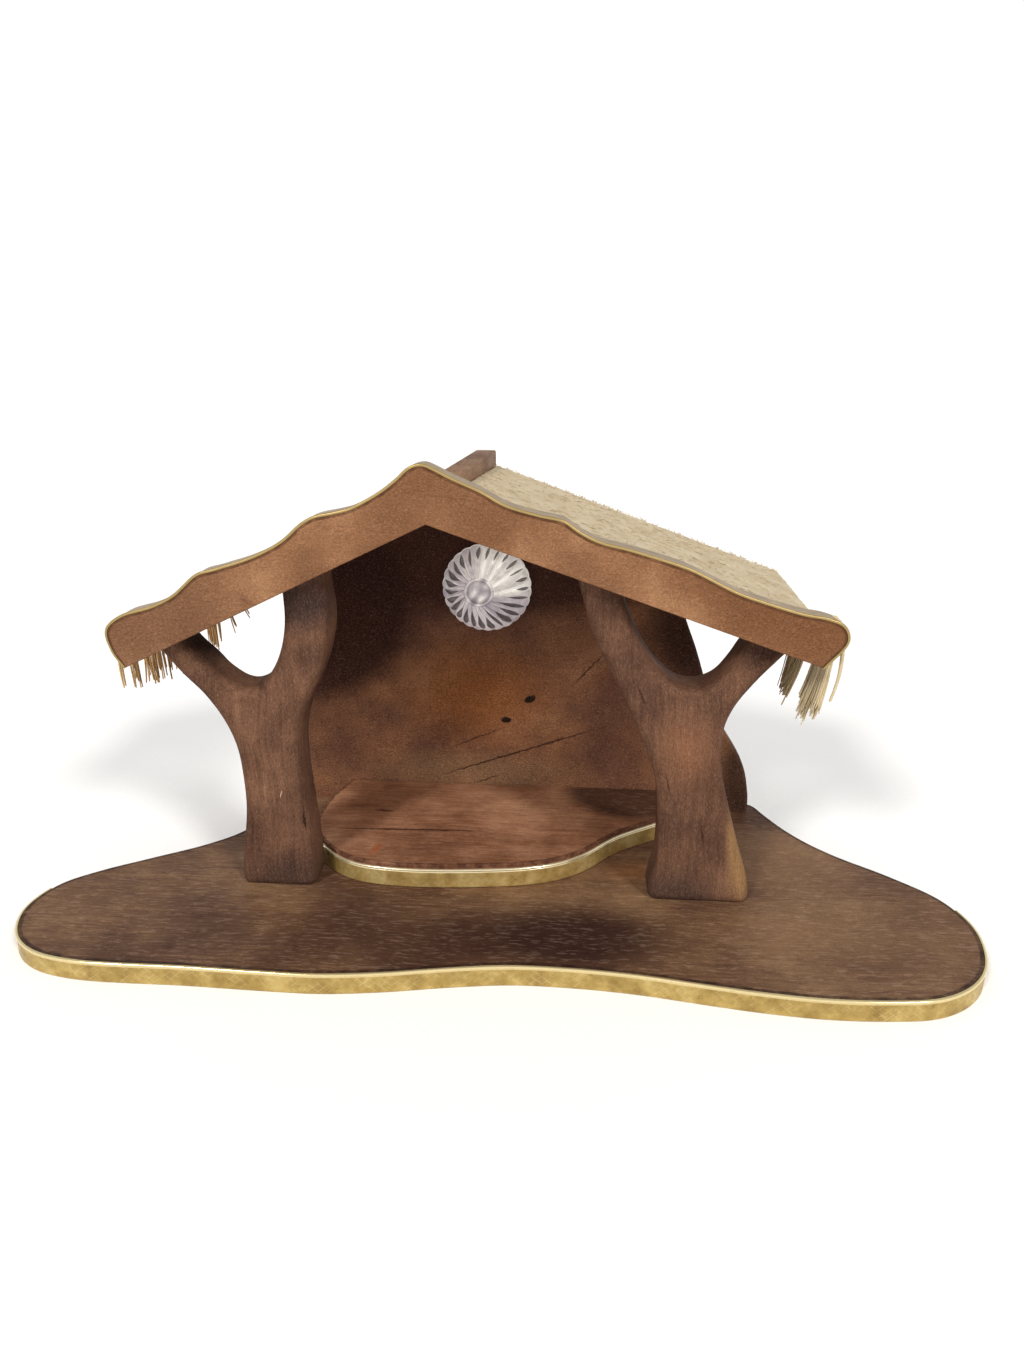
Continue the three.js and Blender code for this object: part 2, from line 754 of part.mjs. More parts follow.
function matMaterial() {
  return new THREE.MeshStandardMaterial({ color: '#d6c19b', roughness: 0.95 });
}

function strandMaterial() {
  return new THREE.MeshStandardMaterial({ color: '#c9a873', roughness: 0.9 });
}

function clearGlassMaterial() {
  return new THREE.MeshStandardMaterial({ color: '#e9e9f2', roughness: 0.08 });
}

function steelMaterial() {
  return new THREE.MeshStandardMaterial({ color: '#a8a9a8', roughness: 0.35, metalness: 1 });
}

function dowelMaterial() {
  return new THREE.MeshStandardMaterial({ color: '#c8a777', roughness: 0.7 });
}

function namedMesh(name, solid, material) {
  const geometry = geometryOf(solid);
  geometry.computeVertexNormals();
  const mesh = new THREE.Mesh(geometry, material);
  mesh.name = name;
  return mesh;
}

// One mesh for each copy of a repeated piece, numbered from one
function numberedMeshes(name, solids, material) {
  return solids.map((solid, i) => namedMesh(`${name}_${i + 1}`, solid, material));
}

function allPieces() {
  const postScrewSpots = postScrewXs.map((x) => [x, postMiddle]);
  const wallScrewSpots = wallScrewXs.map((x) => [x, wallMiddle]);
  const platformSpots = platformScrewSpots.map(behindPosts);
  return [
    namedMesh('base_board', baseBoard(), brownBoardMaterial()),
    namedMesh('base_edge_trim', baseEdgeTrim(), goldTrimMaterial()),
    namedMesh('platform_board', platformBoard(), redBoardMaterial()),
    namedMesh('platform_edge_trim', platformEdgeTrim(), goldTrimMaterial()),
    namedMesh('left_post', leftPost(), darkPostMaterial()),
    namedMesh('right_post', rightPost(), darkPostMaterial()),
    namedMesh('back_wall', backWall(), brownBoardMaterial()),
    namedMesh('fascia_board', fasciaBoard(), lightBoardMaterial()),
    namedMesh('fascia_edge_trim', fasciaEdgeTrim(), goldTrimMaterial()),
    namedMesh('ridge_pole', ridgePole(), darkPostMaterial()),
    namedMesh('left_roof_board', roofBoard(-1), plainBoardMaterial()),
    namedMesh('right_roof_board', roofBoard(1), plainBoardMaterial()),
    namedMesh('left_thatch', thatch(-1), matMaterial()),
    namedMesh('right_thatch', thatch(1), matMaterial()),
    namedMesh('left_eave_fringe', eaveFringe(-1), strandMaterial()),
    namedMesh('right_eave_fringe', eaveFringe(1), strandMaterial()),
    namedMesh('star_rosette', starRosette(), clearGlassMaterial()),
    namedMesh('star_screw', starScrew(), steelMaterial()),
    namedMesh('star_washer', starWasher(), steelMaterial()),
    ...numberedMeshes('post_screw', screws(postScrewSpots, postScrewLong), steelMaterial()),
    ...numberedMeshes('wall_screw', screws(wallScrewSpots, wallScrewLong), steelMaterial()),
    ...numberedMeshes('platform_screw', screws(platformSpots, platformScrewLong), steelMaterial()),
    ...numberedMeshes('roof_nail', roofNails(), steelMaterial()),
    ...numberedMeshes('fascia_dowel', fasciaDowels(), dowelMaterial()),
  ];
}

// The origin is moved to the middle of the footprint, on the surface that the base board rests on
function centred(pieces) {
  const box = new THREE.Box3();
  pieces.forEach((piece) => box.expandByObject(piece));
  const middle = box.getCenter(new THREE.Vector3());
  pieces.forEach((piece) => piece.geometry.translate(-middle.x, -middle.y, -box.min.z));
  return pieces;
}

const stable = new THREE.Group();
stable.name = 'nativity_stable';
stable.add(...centred(allPieces()));

export default stable;
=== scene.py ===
"""The looks of a nativity stable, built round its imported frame.
Lengths are in millimetres here and in metres in the meshes."""

import math
from functools import partial

import bmesh
import bpy
import numpy as np
from mathutils import Matrix, Vector
from mathutils.geometry import tessellate_polygon


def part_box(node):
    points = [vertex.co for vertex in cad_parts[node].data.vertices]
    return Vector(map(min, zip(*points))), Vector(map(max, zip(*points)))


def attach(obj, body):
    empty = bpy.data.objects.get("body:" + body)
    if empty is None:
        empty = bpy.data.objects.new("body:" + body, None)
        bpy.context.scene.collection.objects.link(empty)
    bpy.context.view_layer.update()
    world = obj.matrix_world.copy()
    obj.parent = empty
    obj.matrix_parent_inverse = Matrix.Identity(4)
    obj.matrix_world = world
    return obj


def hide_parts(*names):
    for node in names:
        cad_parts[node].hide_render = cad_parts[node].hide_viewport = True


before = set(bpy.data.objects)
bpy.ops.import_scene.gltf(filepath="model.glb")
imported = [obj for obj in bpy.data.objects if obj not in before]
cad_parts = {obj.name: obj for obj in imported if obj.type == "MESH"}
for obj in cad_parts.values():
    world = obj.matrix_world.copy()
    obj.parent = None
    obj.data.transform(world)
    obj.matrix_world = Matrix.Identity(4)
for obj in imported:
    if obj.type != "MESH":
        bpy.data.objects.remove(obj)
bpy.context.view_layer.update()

MM = 0.001

# Limits for reading a shape: points nearer than these are one, and a bend under this sine is straight
SAME_POINT = 0.004
SAME_ON_LOOP = 0.02
STRAIGHT_BEND = 0.004

# Sizes of the looks in millimetres, angles in degrees, and a few ratios and counts
OUTLINE_STEP = 1.6
EDGING_STEP = 1.0
CORNER_BEND = 40
LONG_EDGE = 60
RUN_OUT = 45
END_CLEAR = 5
MITRE_LIMIT = 0.35
SHARP_MITRE = 1.08
POST_ROUND = 6.5
POST_CUT = 8
WALL_ROUND = 2.5
WALL_CUT = 3.2
BASE_CUT = 6.1
BELOW_FACE = 2
EASED_ARRIS = 0.6
FOOT_EASE_TALL = 5.0
FOOT_EASE_DEEP = 3.2
POLE_TURN = 4
POLE_TURN_Y = 44.6
POLE_ROUND = 1.3
POLE_END_ROUND = 0.8
MAT_THICK = 1.8
MAT_STEP = 0.9
FLUTES = 26
BOSS_RADIUS = 9.3
BOSS_LEAN = -4.1
RIM_CLEAR = 9.0
# Widths of the band of painted shade along the edging on each board, from full to none
BASE_SHADE_RIM = (1.2, 2.8)
PLATFORM_SHADE_RIM = (0.6, 1.6)
FASCIA_SHADE_RIM = (0.45, 1.0)


# Numbers from the frame

def box_mm(node):
    low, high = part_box(node)
    return np.array(low) * 1000, np.array(high) * 1000


def cad_solid(node):
    """The points of a CAD node in millimetres, with its doubles merged, and its triangles."""
    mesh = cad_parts[node].data
    mesh.calc_loop_triangles()
    places = np.empty(len(mesh.vertices) * 3, np.float32)
    mesh.vertices.foreach_get("co", places)
    places = places.reshape(-1, 3).astype(float) * 1000
    corners = np.empty(len(mesh.loop_triangles) * 3, np.int32)
    mesh.loop_triangles.foreach_get("vertices", corners)
    _, first, same = np.unique(np.round(places / SAME_POINT).astype(np.int64), axis=0,
                               return_index=True, return_inverse=True)
    return places[first], same.ravel()[corners].reshape(-1, 3)


def cut_loop(node, axis, level):
    """The longest loop in which a plane across the axis cuts a CAD node. Each triangle that the plane cuts
    joins the cuts of two of its edges, and the cuts are walked one after another."""
    points, triangles = cad_solid(node)
    above = points[:, axis] > level
    ends = np.stack([triangles, np.roll(triangles, -1, axis=1)], -1)
    crossing = above[ends[..., 0]] != above[ends[..., 1]]
    pairs = np.sort(ends, -1)[crossing]
    keys, links = np.unique(pairs[:, 0] * len(points) + pairs[:, 1], return_inverse=True)
    low, high = points[keys // len(points)], points[keys % len(points)]
    share = (level - low[:, axis]) / (high[:, axis] - low[:, axis])
    spots = np.delete(low + share[:, None] * (high - low), axis, 1)
    beside = {k: [] for k in range(len(keys))}
    for a, b in links.reshape(-1, 2):
        beside[a].append(b)
        beside[b].append(a)
    unwalked, walks = set(beside), []
    while unwalked:
        walk = [unwalked.pop()]
        onward = walk
        while onward:
            onward = [k for k in beside[walk[-1]] if k in unwalked]
            walk += onward[:1]
            unwalked -= set(onward[:1])
        walks.append(spots[walk])
    return bare_loop(max(walks, key=lambda walk: np.ptp(walk, axis=0).sum()))


def bare_loop(loop):
    """The loop turned to run to the left round its inside, without doubles or points on straight lines."""
    loop = loop[np.linalg.norm(loop - np.roll(loop, 1, 0), axis=1) > SAME_ON_LOOP]
    before, after = loop - np.roll(loop, 1, 0), np.roll(loop, -1, 0) - loop
    bend = cross(before, after) / np.linalg.norm(before, axis=1) / np.linalg.norm(after, axis=1)
    loop = loop[np.abs(bend) > STRAIGHT_BEND]
    return loop if cross(loop, np.roll(loop, -1, 0)).sum() > 0 else loop[::-1]


def cross(a, b):
    return a[:, 0] * b[:, 1] - a[:, 1] * b[:, 0]


def circle(count, start=0.0):
    """Points on a circle of radius 1, from an angle in radians."""
    turn = np.linspace(0, 2 * math.pi, count, endpoint=False) + start
    return np.stack([np.cos(turn), np.sin(turn)], 1)


def loop_sides(loop):
    """The sides of an outline. They meet at each sharp corner and at both ends of each long straight edge."""
    edges = np.roll(loop, -1, 0) - loop
    lengths = np.linalg.norm(edges, axis=1)
    along = edges / lengths[:, None]
    straightness = (along * np.roll(along, 1, 0)).sum(1)
    is_long = lengths > LONG_EDGE
    corner = (straightness < math.cos(math.radians(CORNER_BEND))) | is_long | np.roll(is_long, 1)
    starts = np.flatnonzero(corner)
    stops = np.roll(starts, -1) + np.where(np.roll(starts, -1) <= starts, len(loop), 0)
    return [loop[np.arange(a, b + 1) % len(loop)] for a, b in zip(starts, stops)]


def smooth_side(side, step):
    """A natural cubic curve through the points of a side, at even steps along it."""
    span = np.linalg.norm(np.diff(side, axis=0), axis=1)
    reach = np.concatenate([[0], np.cumsum(span)])
    count = len(reach)
    system, right = np.eye(count), np.zeros((count, 2))
    k = np.arange(1, count - 1)
    system[k, k - 1], system[k, k], system[k, k + 1] = span[:-1], 2 * (span[:-1] + span[1:]), span[1:]
    right[1:-1] = 6 * np.diff(np.diff(side, axis=0) / span[:, None], axis=0)
    bend = np.linalg.solve(system, right)

    def at(u):
        k = np.clip(np.searchsorted(reach, u, side="right") - 1, 0, count - 2)
        h = span[k][:, None]
        b = (u - reach[k])[:, None] / h
        a = 1 - b
        return a * side[k] + b * side[k + 1] + ((a**3 - a) * bend[k] + (b**3 - b) * bend[k + 1]) * h**2 / 6

    fine = np.linspace(0, reach[-1], 24 * count)
    along = arc_lengths(at(fine))
    even = np.linspace(0, along[-1], max(2, round(along[-1] / step)) + 1)
    return at(np.interp(even, along, fine))


def arc_lengths(run):
    return np.concatenate([[0], np.cumsum(np.linalg.norm(np.diff(run, axis=0), axis=1))])


def unit(vectors):
    return vectors / np.linalg.norm(vectors, axis=-1, keepdims=True)


def past_ends(run):
    """The run with one more point straight on past each end."""
    first, last = run[0] + unit(run[0] - run[1]) * RUN_OUT, run[-1] + unit(run[-1] - run[-2]) * RUN_OUT
    return np.vstack([first, run, last])


def run_normals(run):
    """Unit normals to the right hand of an open run."""
    along = unit(np.gradient(run, axis=0))
    return np.stack([along[:, 1], -along[:, 0]], 1)


def corner_normals(loop):
    """Outward mitred normals of a loop that runs to the left: a point moved by one moves its edges by one."""
    along = unit(np.roll(loop, -1, 0) - loop)
    after = np.stack([along[:, 1], -along[:, 0]], 1)
    before = np.roll(after, 1, 0)
    return (before + after) / np.maximum(1 + (before * after).sum(1), MITRE_LIMIT)[:, None]


# Meshes

def new_piece(name, points, faces, material, replaced=(), bend=38):
    """A piece at the origin from points in millimetres and lists of corners."""
    mesh = bpy.data.meshes.new(name)
    mesh.from_pydata(np.asarray(points) * MM, [], [list(map(int, face)) for face in faces])
    return finished(name, mesh, material, replaced, bend)


def finished(name, mesh, material, replaced, bend=38):
    """The object of a mesh. Edges that bend by more degrees than given stay sharp."""
    mesh.validate()
    mesh.update()
    mesh.shade_smooth()
    mesh.set_sharp_from_angle(angle=math.radians(bend))
    mesh.materials.append(material)
    piece = bpy.data.objects.new(name, mesh)
    bpy.context.scene.collection.objects.link(piece)
    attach(piece, "root")
    if replaced:
        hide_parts(*replaced)
    return piece


def point_values(mesh, name, values):
    layer = mesh.attributes.new(name, "FLOAT", "POINT")
    layer.data.foreach_set("value", np.asarray(values, np.float32).ravel())


def add_map(mesh, name, values):
    """A UV map from one pair of values a point, in units of 10 mm."""
    corners = np.empty(len(mesh.loops), np.int32)
    mesh.loops.foreach_get("vertex_index", corners)
    layer = mesh.uv_layers.new(name=name)
    layer.data.foreach_set("uv", (values[corners] / 10).astype(np.float32).ravel())


def grid_faces(rows, columns, closed=False, start=0):
    """Quads between neighbouring rows and columns of a grid of points. In a closed grid the last column meets
    the first."""
    r, c = np.meshgrid(np.arange(rows - 1), np.arange(columns if closed else columns - 1), indexing="ij")
    on = (c + 1) % columns
    quads = np.stack([r * columns + c, (r + 1) * columns + c, (r + 1) * columns + on, r * columns + on], -1)
    return quads.reshape(-1, 4) + start


def closed_tube(rows, columns):
    """The faces of a grid of points whose rows are closed rings, with one face over each end."""
    ends = [list(range(columns)), list(range((rows - 1) * columns, rows * columns))[::-1]]
    return grid_faces(rows, columns, closed=True).tolist() + ends


def quarter_rings(thick, rounding, steps, support):
    """Depth and inset of the rings of a board, from one face to the other: a quarter round at each face,
    with one more ring inside it that keeps the face flat."""
    angle = np.linspace(0, math.pi / 2, steps + 1)
    deep = np.append(0, rounding * (1 - np.cos(angle)))
    inset = np.append(rounding + support, rounding * (1 - np.sin(angle)))
    return np.concatenate([deep, thick - deep[::-1]]), np.concatenate([inset, inset[::-1]])


def ringed_board(outline, deep, inset, place):
    """Points and faces of a board: each ring is the outline moved in along its normals by the inset,
    at a depth. One face closes the first ring and one the last. The inset can change round the outline."""
    rings = outline - corner_normals(outline) * inset.reshape(len(deep), -1, 1)
    depth = np.broadcast_to(deep[:, None], rings.shape[:2])
    points = place(rings[..., 0].ravel(), rings[..., 1].ravel(), depth.ravel())
    return points, closed_tube(len(deep), len(outline))


def rimmed_board(outline, beside_edging, thick, place, rim):
    """A board with eased arrises, and two more rings on its far face for the attribute rim, which places a
    band
    of painted shade along the edging: it is 1 as far as the first and 0 from the second on, and only beside
    the edging. Those rings draw out to the arris near sharp corners, so that they don't fold. Gives points,
    faces and the attribute."""
    deep, inset = quarter_rings(thick, EASED_ARRIS, steps=3, support=0.2)
    sharp = outline[np.linalg.norm(corner_normals(outline), axis=1) > SHARP_MITRE]
    away = np.linalg.norm(outline[:, None] - sharp, axis=2).min(1, initial=RIM_CLEAR)
    share = np.clip(away / RIM_CLEAR, 0.02, 1)
    inset = np.vstack([inset[:, None] + 0 * share, inset[-1] + np.outer(rim, share)])
    points, faces = ringed_board(outline, np.append(deep, [thick, thick]), inset, place)
    values = np.append(np.ones(len(inset) - 1), 0)[:, None] * beside_edging
    return points, faces, values.ravel()


def outward(points, faces):
    """The faces turned so that they point outwards, told by the sign of the volume that they enclose."""
    volume = 0
    for face in faces:
        spokes = points[face[1:]] - points[face[0]]
        volume += np.dot(points[face[0]], np.cross(spokes[:-1], spokes[1:]).sum(0))
    return faces if volume > 0 else [face[::-1] for face in faces]


def standing(front):
    return lambda u, v, w: np.stack([u, front + w, v], 1)


def standing_back(rear):
    return lambda u, v, w: np.stack([u, rear - w, v], 1)


def lying(bottom):
    return lambda u, v, w: np.stack([u, v, bottom + w], 1)


def cut_mesh(name, points, faces, cuts=(), foot=None):
    """A mesh cut by planes, each given by a point and an outward direction, with the cuts closed.
    foot is the height of the lowest arris, where that is eased."""
    mesh = bpy.data.meshes.new(name)
    mesh.from_pydata(points * MM, [], faces)
    made = bmesh.new()
    made.from_mesh(mesh)
    for spot, direction in cuts:
        bisect(made, spot, direction, clear_outer=True)
        bmesh.ops.holes_fill(made, edges=[edge for edge in made.edges if edge.is_boundary], sides=0)
    if foot is not None:
        ease_foot(made, foot)
    bmesh.ops.recalc_face_normals(made, faces=made.faces[:])
    made.to_mesh(mesh)
    made.free()
    return mesh


def bisect(made, spot, direction, **settings):
    bmesh.ops.bisect_plane(made, geom=made.verts[:] + made.edges[:] + made.faces[:], dist=1e-7,
                           plane_co=Vector(np.array(spot) * MM), plane_no=Vector(direction), **settings)


def ease_foot(made, foot):
    """Rounds the arris round a foot: a point at height h moves in, square to the sides round it,
    by deep x (1 - sqrt(1 - (1 - h / tall)^2))."""
    for height in FOOT_EASE_TALL * np.array([1, 0.75, 0.52, 0.34, 0.2, 0.09, 0.03]):
        bisect(made, (0, 0, foot + height), (0, 0, 1))
    made.normal_update()
    low = [v for v in made.verts if v.co.z < (foot + FOOT_EASE_TALL) * MM - 1e-7]
    moves = []
    for v in low:
        way = sum([f.normal for f in v.link_faces if abs(f.normal.z) < 0.7], Vector())
        way.z = 0
        rise = 1 - (v.co.z / MM - foot) / FOOT_EASE_TALL
        moves.append(way.normalized() * FOOT_EASE_DEEP * MM * (1 - math.sqrt(max(0, 1 - min(1, rise) ** 2))))
    for v, move in zip(low, moves):
        v.co -= move


def carried_section(run, section, place):
    """A section of outward distance and height carried along an open run, with its ends closed. A point is
    the run's point plus its normal times the distance. Gives points, faces and places along and round."""
    flat = run[:, None] + run_normals(run)[:, None] * section[:, :1]
    rise = np.broadcast_to(section[:, 1], flat.shape[:2])
    points = place(flat[..., 0].ravel(), flat[..., 1].ravel(), rise.ravel())
    places = np.stack([np.repeat(arc_lengths(run), len(section)), np.tile(arc_lengths(section), len(run))], 1)
    return points, closed_tube(len(run), len(section)), places


# Materials

def linear(code):
    """The linear colour of an sRGB hex value."""
    parts = np.array([int(code[k:k + 2], 16) / 255 for k in (0, 2, 4)])
    return (*np.where(parts <= 0.04045, parts / 12.92, ((parts + 0.055) / 1.055) ** 2.4), 1.0)


def feed(tree, sockets, values):
    """Gives each socket a number, a hex colour or another node's output. None leaves it as it is."""
    for socket, value in zip(sockets, values):
        if isinstance(value, bpy.types.NodeSocket):
            tree.links.new(value, socket)
        elif value is not None:
            socket.default_value = linear(value) if isinstance(value, str) else value


def add_node(tree, kind, *inputs, out=0, stops=(), **settings):
    """Adds one node and gives one of its outputs. Its inputs come in the order in which the node shows them.
    Settings are its own fields, and stops are a ramp's places and colours."""
    made = tree.nodes.new("ShaderNode" + kind)
    for field, value in settings.items():
        setattr(made, field, value)
    feed(tree, [socket for socket in made.inputs if socket.enabled], inputs)
    for k, (at, colour) in enumerate(stops):
        ramp = made.color_ramp.elements
        while len(ramp) < len(stops):
            ramp.new(0.5)
        ramp[k].position = at
        ramp[k].color = linear(colour)
    return [socket for socket in made.outputs if socket.enabled][out]


def new_material(name):
    """A material, and the function that adds a node to it."""
    material = bpy.data.materials.new(name)
    material.use_nodes = True
    return material, partial(add_node, material.node_tree)


def shaded(material, inputs):
    """Gives the material's shader its inputs by name."""
    shader = material.node_tree.nodes["Principled BSDF"]
    feed(material.node_tree, [shader.inputs[name] for name in inputs], inputs.values())
    return material


def marked(put, colour, place, marks):
    """Adds soft-edged ellipses to a colour. A group of them has the axis that they go through, and its middle
    and half depth along it. Each has its middle and half sizes in the other two axes, its turn in degrees,
    where its edge starts, its strength and its colour."""
    for axis, depth, group in marks:
        for *flat, turn, edge, strength, code in group:
            middle, sizes = np.insert(np.reshape(flat, (2, 2)).astype(float), axis, depth, axis=1)
            turned = np.eye(3)[axis] * math.radians(turn)
            local = put("Mapping", place, tuple(middle), tuple(turned), tuple(sizes), vector_type="TEXTURE")
            away = put("VectorMath", local, operation="LENGTH")
            mask = put("MapRange", away, edge, 1.0, strength, 0.0, interpolation_type="SMOOTHSTEP")
            colour = put("Mix", mask, colour, code, data_type="RGBA")
    return colour


def stained_wood(name, tones, turn=(0, 0, 0), mottle=0.2, fleck=0.5, fleck_size=(0.14, 1.3, 1.3), pore=0.5,
                 streak=0.3, marks=(), gloss=0.56, cloud=0.022, rim=None, shine=0.12):
    """Stained and varnished wood. Clouds of uneven stain and faint streaks along the grain pick the tone.
    A fine mottle, short dark pores and short pale flecks of rubbed varnish lie over them. rim is the colour
    of a ragged band of painted shade along the edging."""
    material, put = new_material(name)
    place = put("Mapping", put("TexCoord", out=3), None, None, (1000, 1000, 1000))
    grain = put("Mapping", place, None, tuple(np.radians(turn)))
    wander = put("TexNoise", grain, 0.02, 2.0, out=1)
    bent = put("VectorMath", wander, (9, 9, 9), grain, operation="MULTIPLY_ADD")

    def figure(size, detail=3.0, rough=0.6, shift=0):
        """A noise that follows the grain. Its size is in repeats a millimetre, along the grain and across."""
        return put("TexNoise", put("Mapping", bent, (shift, shift, shift), None, size), 1.0, detail, rough)

    clouds = put("TexNoise", place, cloud, 4.0, 0.55)
    both = put("Mix", streak, clouds, figure((0.016, 0.4, 0.4), 4.0))
    colour = put("ValToRGB", both, stops=list(zip((0.34, 0.46, 0.56, 0.68), tones)))
    sway = put("TexNoise", place, 0.35, 3.0, out=1)
    warped = put("VectorMath", sway, (2.2, 2.2, 2.2), place, operation="MULTIPLY_ADD")
    colour = marked(put, colour, put("VectorMath", warped, (-1.1, -1.1, -1.1), operation="ADD"), marks)
    mottled = put("MapRange", figure((0.8, 1.3, 1.3), 3.0, 0.8), 0.36, 0.64, 1 - mottle, 1 + mottle)
    colour = put("Mix", 1.0, colour, mottled, data_type="RGBA", blend_type="MULTIPLY")
    pores = figure((0.13, 1.5, 1.5), 2.0, 0.6, 31)
    dark = put("Mix", 1.0, colour, (0.42, 0.36, 0.33, 1), data_type="RGBA", blend_type="MULTIPLY")
    colour = put("Mix", put("MapRange", pores, 0.55, 0.7, 0.0, pore), colour, dark, data_type="RGBA")
    flecks = figure(fleck_size, 2.0, 0.65, 77)
    light = put("Mix", 1.0, colour, (0.06, 0.044, 0.032, 1), data_type="RGBA", blend_type="ADD")
    colour = put("Mix", put("MapRange", flecks, 0.54, 0.64, 0.0, fleck), colour, light, data_type="RGBA")
    # Painted shade: a ragged dark band along the edging.
    if rim:
        edge = put("Attribute", attribute_name="rim", out=2)
        ragged = put("Math", figure((0.2, 0.2, 0.2), 4.0, 0.6, 11), 1.6, edge, operation="MULTIPLY_ADD")
        colour = put("Mix", put("MapRange", ragged, 1.25, 2.0, 0.0, 0.85), colour, rim, data_type="RGBA")
    rough = put("MapRange", both, 0.3, 0.7, gloss + 0.06, gloss - 0.05)
    relief = put("Math", flecks, pores, operation="SUBTRACT")
    return shaded(material, {"Base Color": colour, "Roughness": rough, "Specular IOR Level": shine,
                             "IOR": 1.3, "Normal": put("Bump", 0.3, 0.0002, None, relief)})


def gold_edging(name, band, tones, lip, lip_rough=0.2):
    """Metallised plastic edging, hot stamped with a fine lozenge pattern: two crossing sets of thin ridges,
    6 mm apart along it, with smooth lips and worn spots. The ridges and the lips are painted paler, as
    painted highlights."""
    material, put = new_material(name)
    size = put("Mapping", put("UVMap", uv_map="edging"), None, None, (10, 10, 10))
    along, about, _ = put("SeparateXYZ", size).node.outputs
    heights = []
    for sign in (1, -1):
        lean = put("Math", about, sign * 1.25, along, operation="MULTIPLY_ADD")
        fold = put("Math", lean, 3.0, operation="PINGPONG")
        heights.append(put("MapRange", fold, 0.0, 0.5, 1.0, 0.0, interpolation_type="SMOOTHSTEP"))
    inside = put("MapRange", about, band - 0.5, band, 1.0, 0.0)
    raised = put("Math", put("Math", *heights, operation="MAXIMUM"), inside, operation="MULTIPLY")
    place = put("TexCoord", out=3)
    worn = put("TexNoise", place, 90.0, 5.0, 0.65)
    colour = put("ValToRGB", worn, stops=list(zip((0.3, 0.5, 0.68), tones)))
    kept = put("MapRange", put("TexNoise", place, 130.0, 3.0), 0.45, 0.65, 0.0, 0.32)
    ridge_light = put("Math", raised, kept, operation="MULTIPLY")
    # Painted highlight on the ridges.
    colour = put("Mix", ridge_light, colour, "f0e0b4", data_type="RGBA")
    worn_away = put("MapRange", put("TexNoise", place, 420.0, 2.0), 0.66, 0.74, 0.0, 0.5)
    colour = put("Mix", worn_away, colour, "7d6333", data_type="RGBA")
    # Painted highlight: the lip's paler colour.
    colour = put("Mix", inside, lip, colour, data_type="RGBA")
    both = put("Math", worn, 0.5, ridge_light, operation="MULTIPLY_ADD")
    return shaded(material, {"Metallic": 0.7, "Base Color": colour,
                             "Roughness": put("MapRange", inside, 0.0, 1.0, lip_rough, 0.42),
                             "Normal": put("Bump", 0.6, 0.00018, None, both)})


def plant_fibre(name, tones):
    """Dry plant fibre, split and twisted by hand: each strand has its own shade, with fine lines along it."""
    material, put = new_material(name)
    lines = put("Mapping", put("TexCoord", out=3), None, None, (2600, 2600, 260))
    fine = put("TexNoise", lines, 1.0, 3.0, 0.6)
    both = put("Mix", 0.35, put("Attribute", attribute_name="shade", out=2), fine)
    colour = put("ValToRGB", both, stops=list(zip((0.1, 0.4, 0.65, 0.95), tones)))
    return shaded(material, {"Base Color": colour, "Roughness": 0.8,
                             "Normal": put("Bump", 0.5, 0.0002, None, fine)})


def woven_mat():
    """Coarse plain-woven plant fibre, unbleached: threads 1.3 mm apart that run down the slope and across it,
    uneven and fuzzy, with short gaps where they part. The gaps and the hollows of the weave are darkened as
    painted shade."""
    material, put = new_material("coarse_woven_plant_fibre")
    size = put("Mapping", put("UVMap", uv_map="weave"), None, None, (10, 10, 10))
    sway = put("TexNoise", size, 0.12, 3.0, out=1)
    bent = put("VectorMath", sway, (2.4, 2.4, 2.4), size, operation="MULTIPLY_ADD")
    down, across, _ = put("SeparateXYZ", bent).node.outputs
    waves = [put("Math", put("Math", way, 2 * math.pi / 1.3, operation="MULTIPLY"), operation="SINE")
             for way in (down, across)]
    weave = put("Math", *waves, operation="MULTIPLY")
    dashes = put("TexNoise", put("Mapping", bent, None, None, (0.3, 0.95, 1)), 1.0, 3.0, 0.65)
    fuzz = put("TexNoise", size, 1.8, 4.0, 0.7)
    mixed = put("Mix", 0.55, put("TexNoise", size, 0.05, 3.0), fuzz)
    tones = [(0.3, "b19b75"), (0.46, "c3af8c"), (0.56, "cfbe9c"), (0.72, "e0d3b7")]
    colour = put("ValToRGB", mixed, stops=tones)
    # Painted shade in the gaps where the threads part.
    gap = put("MapRange", dashes, 0.58, 0.7, 0.0, 0.75)
    colour = put("Mix", gap, colour, "8a6c45", data_type="RGBA")
    # Painted shade in the hollows of the weave.
    pit = put("MapRange", weave, -0.3, -1.0, 0.0, 0.22)
    colour = put("Mix", pit, colour, "9c7f55", data_type="RGBA")
    relief = put("Math", fuzz, 1.4, weave, operation="MULTIPLY_ADD")
    sunk = put("Math", relief, gap, operation="SUBTRACT")
    return shaded(material, {"Base Color": colour, "Roughness": 0.92, "Sheen Weight": 0.15,
                             "Normal": put("Bump", 0.7, 0.0003, None, sunk)})


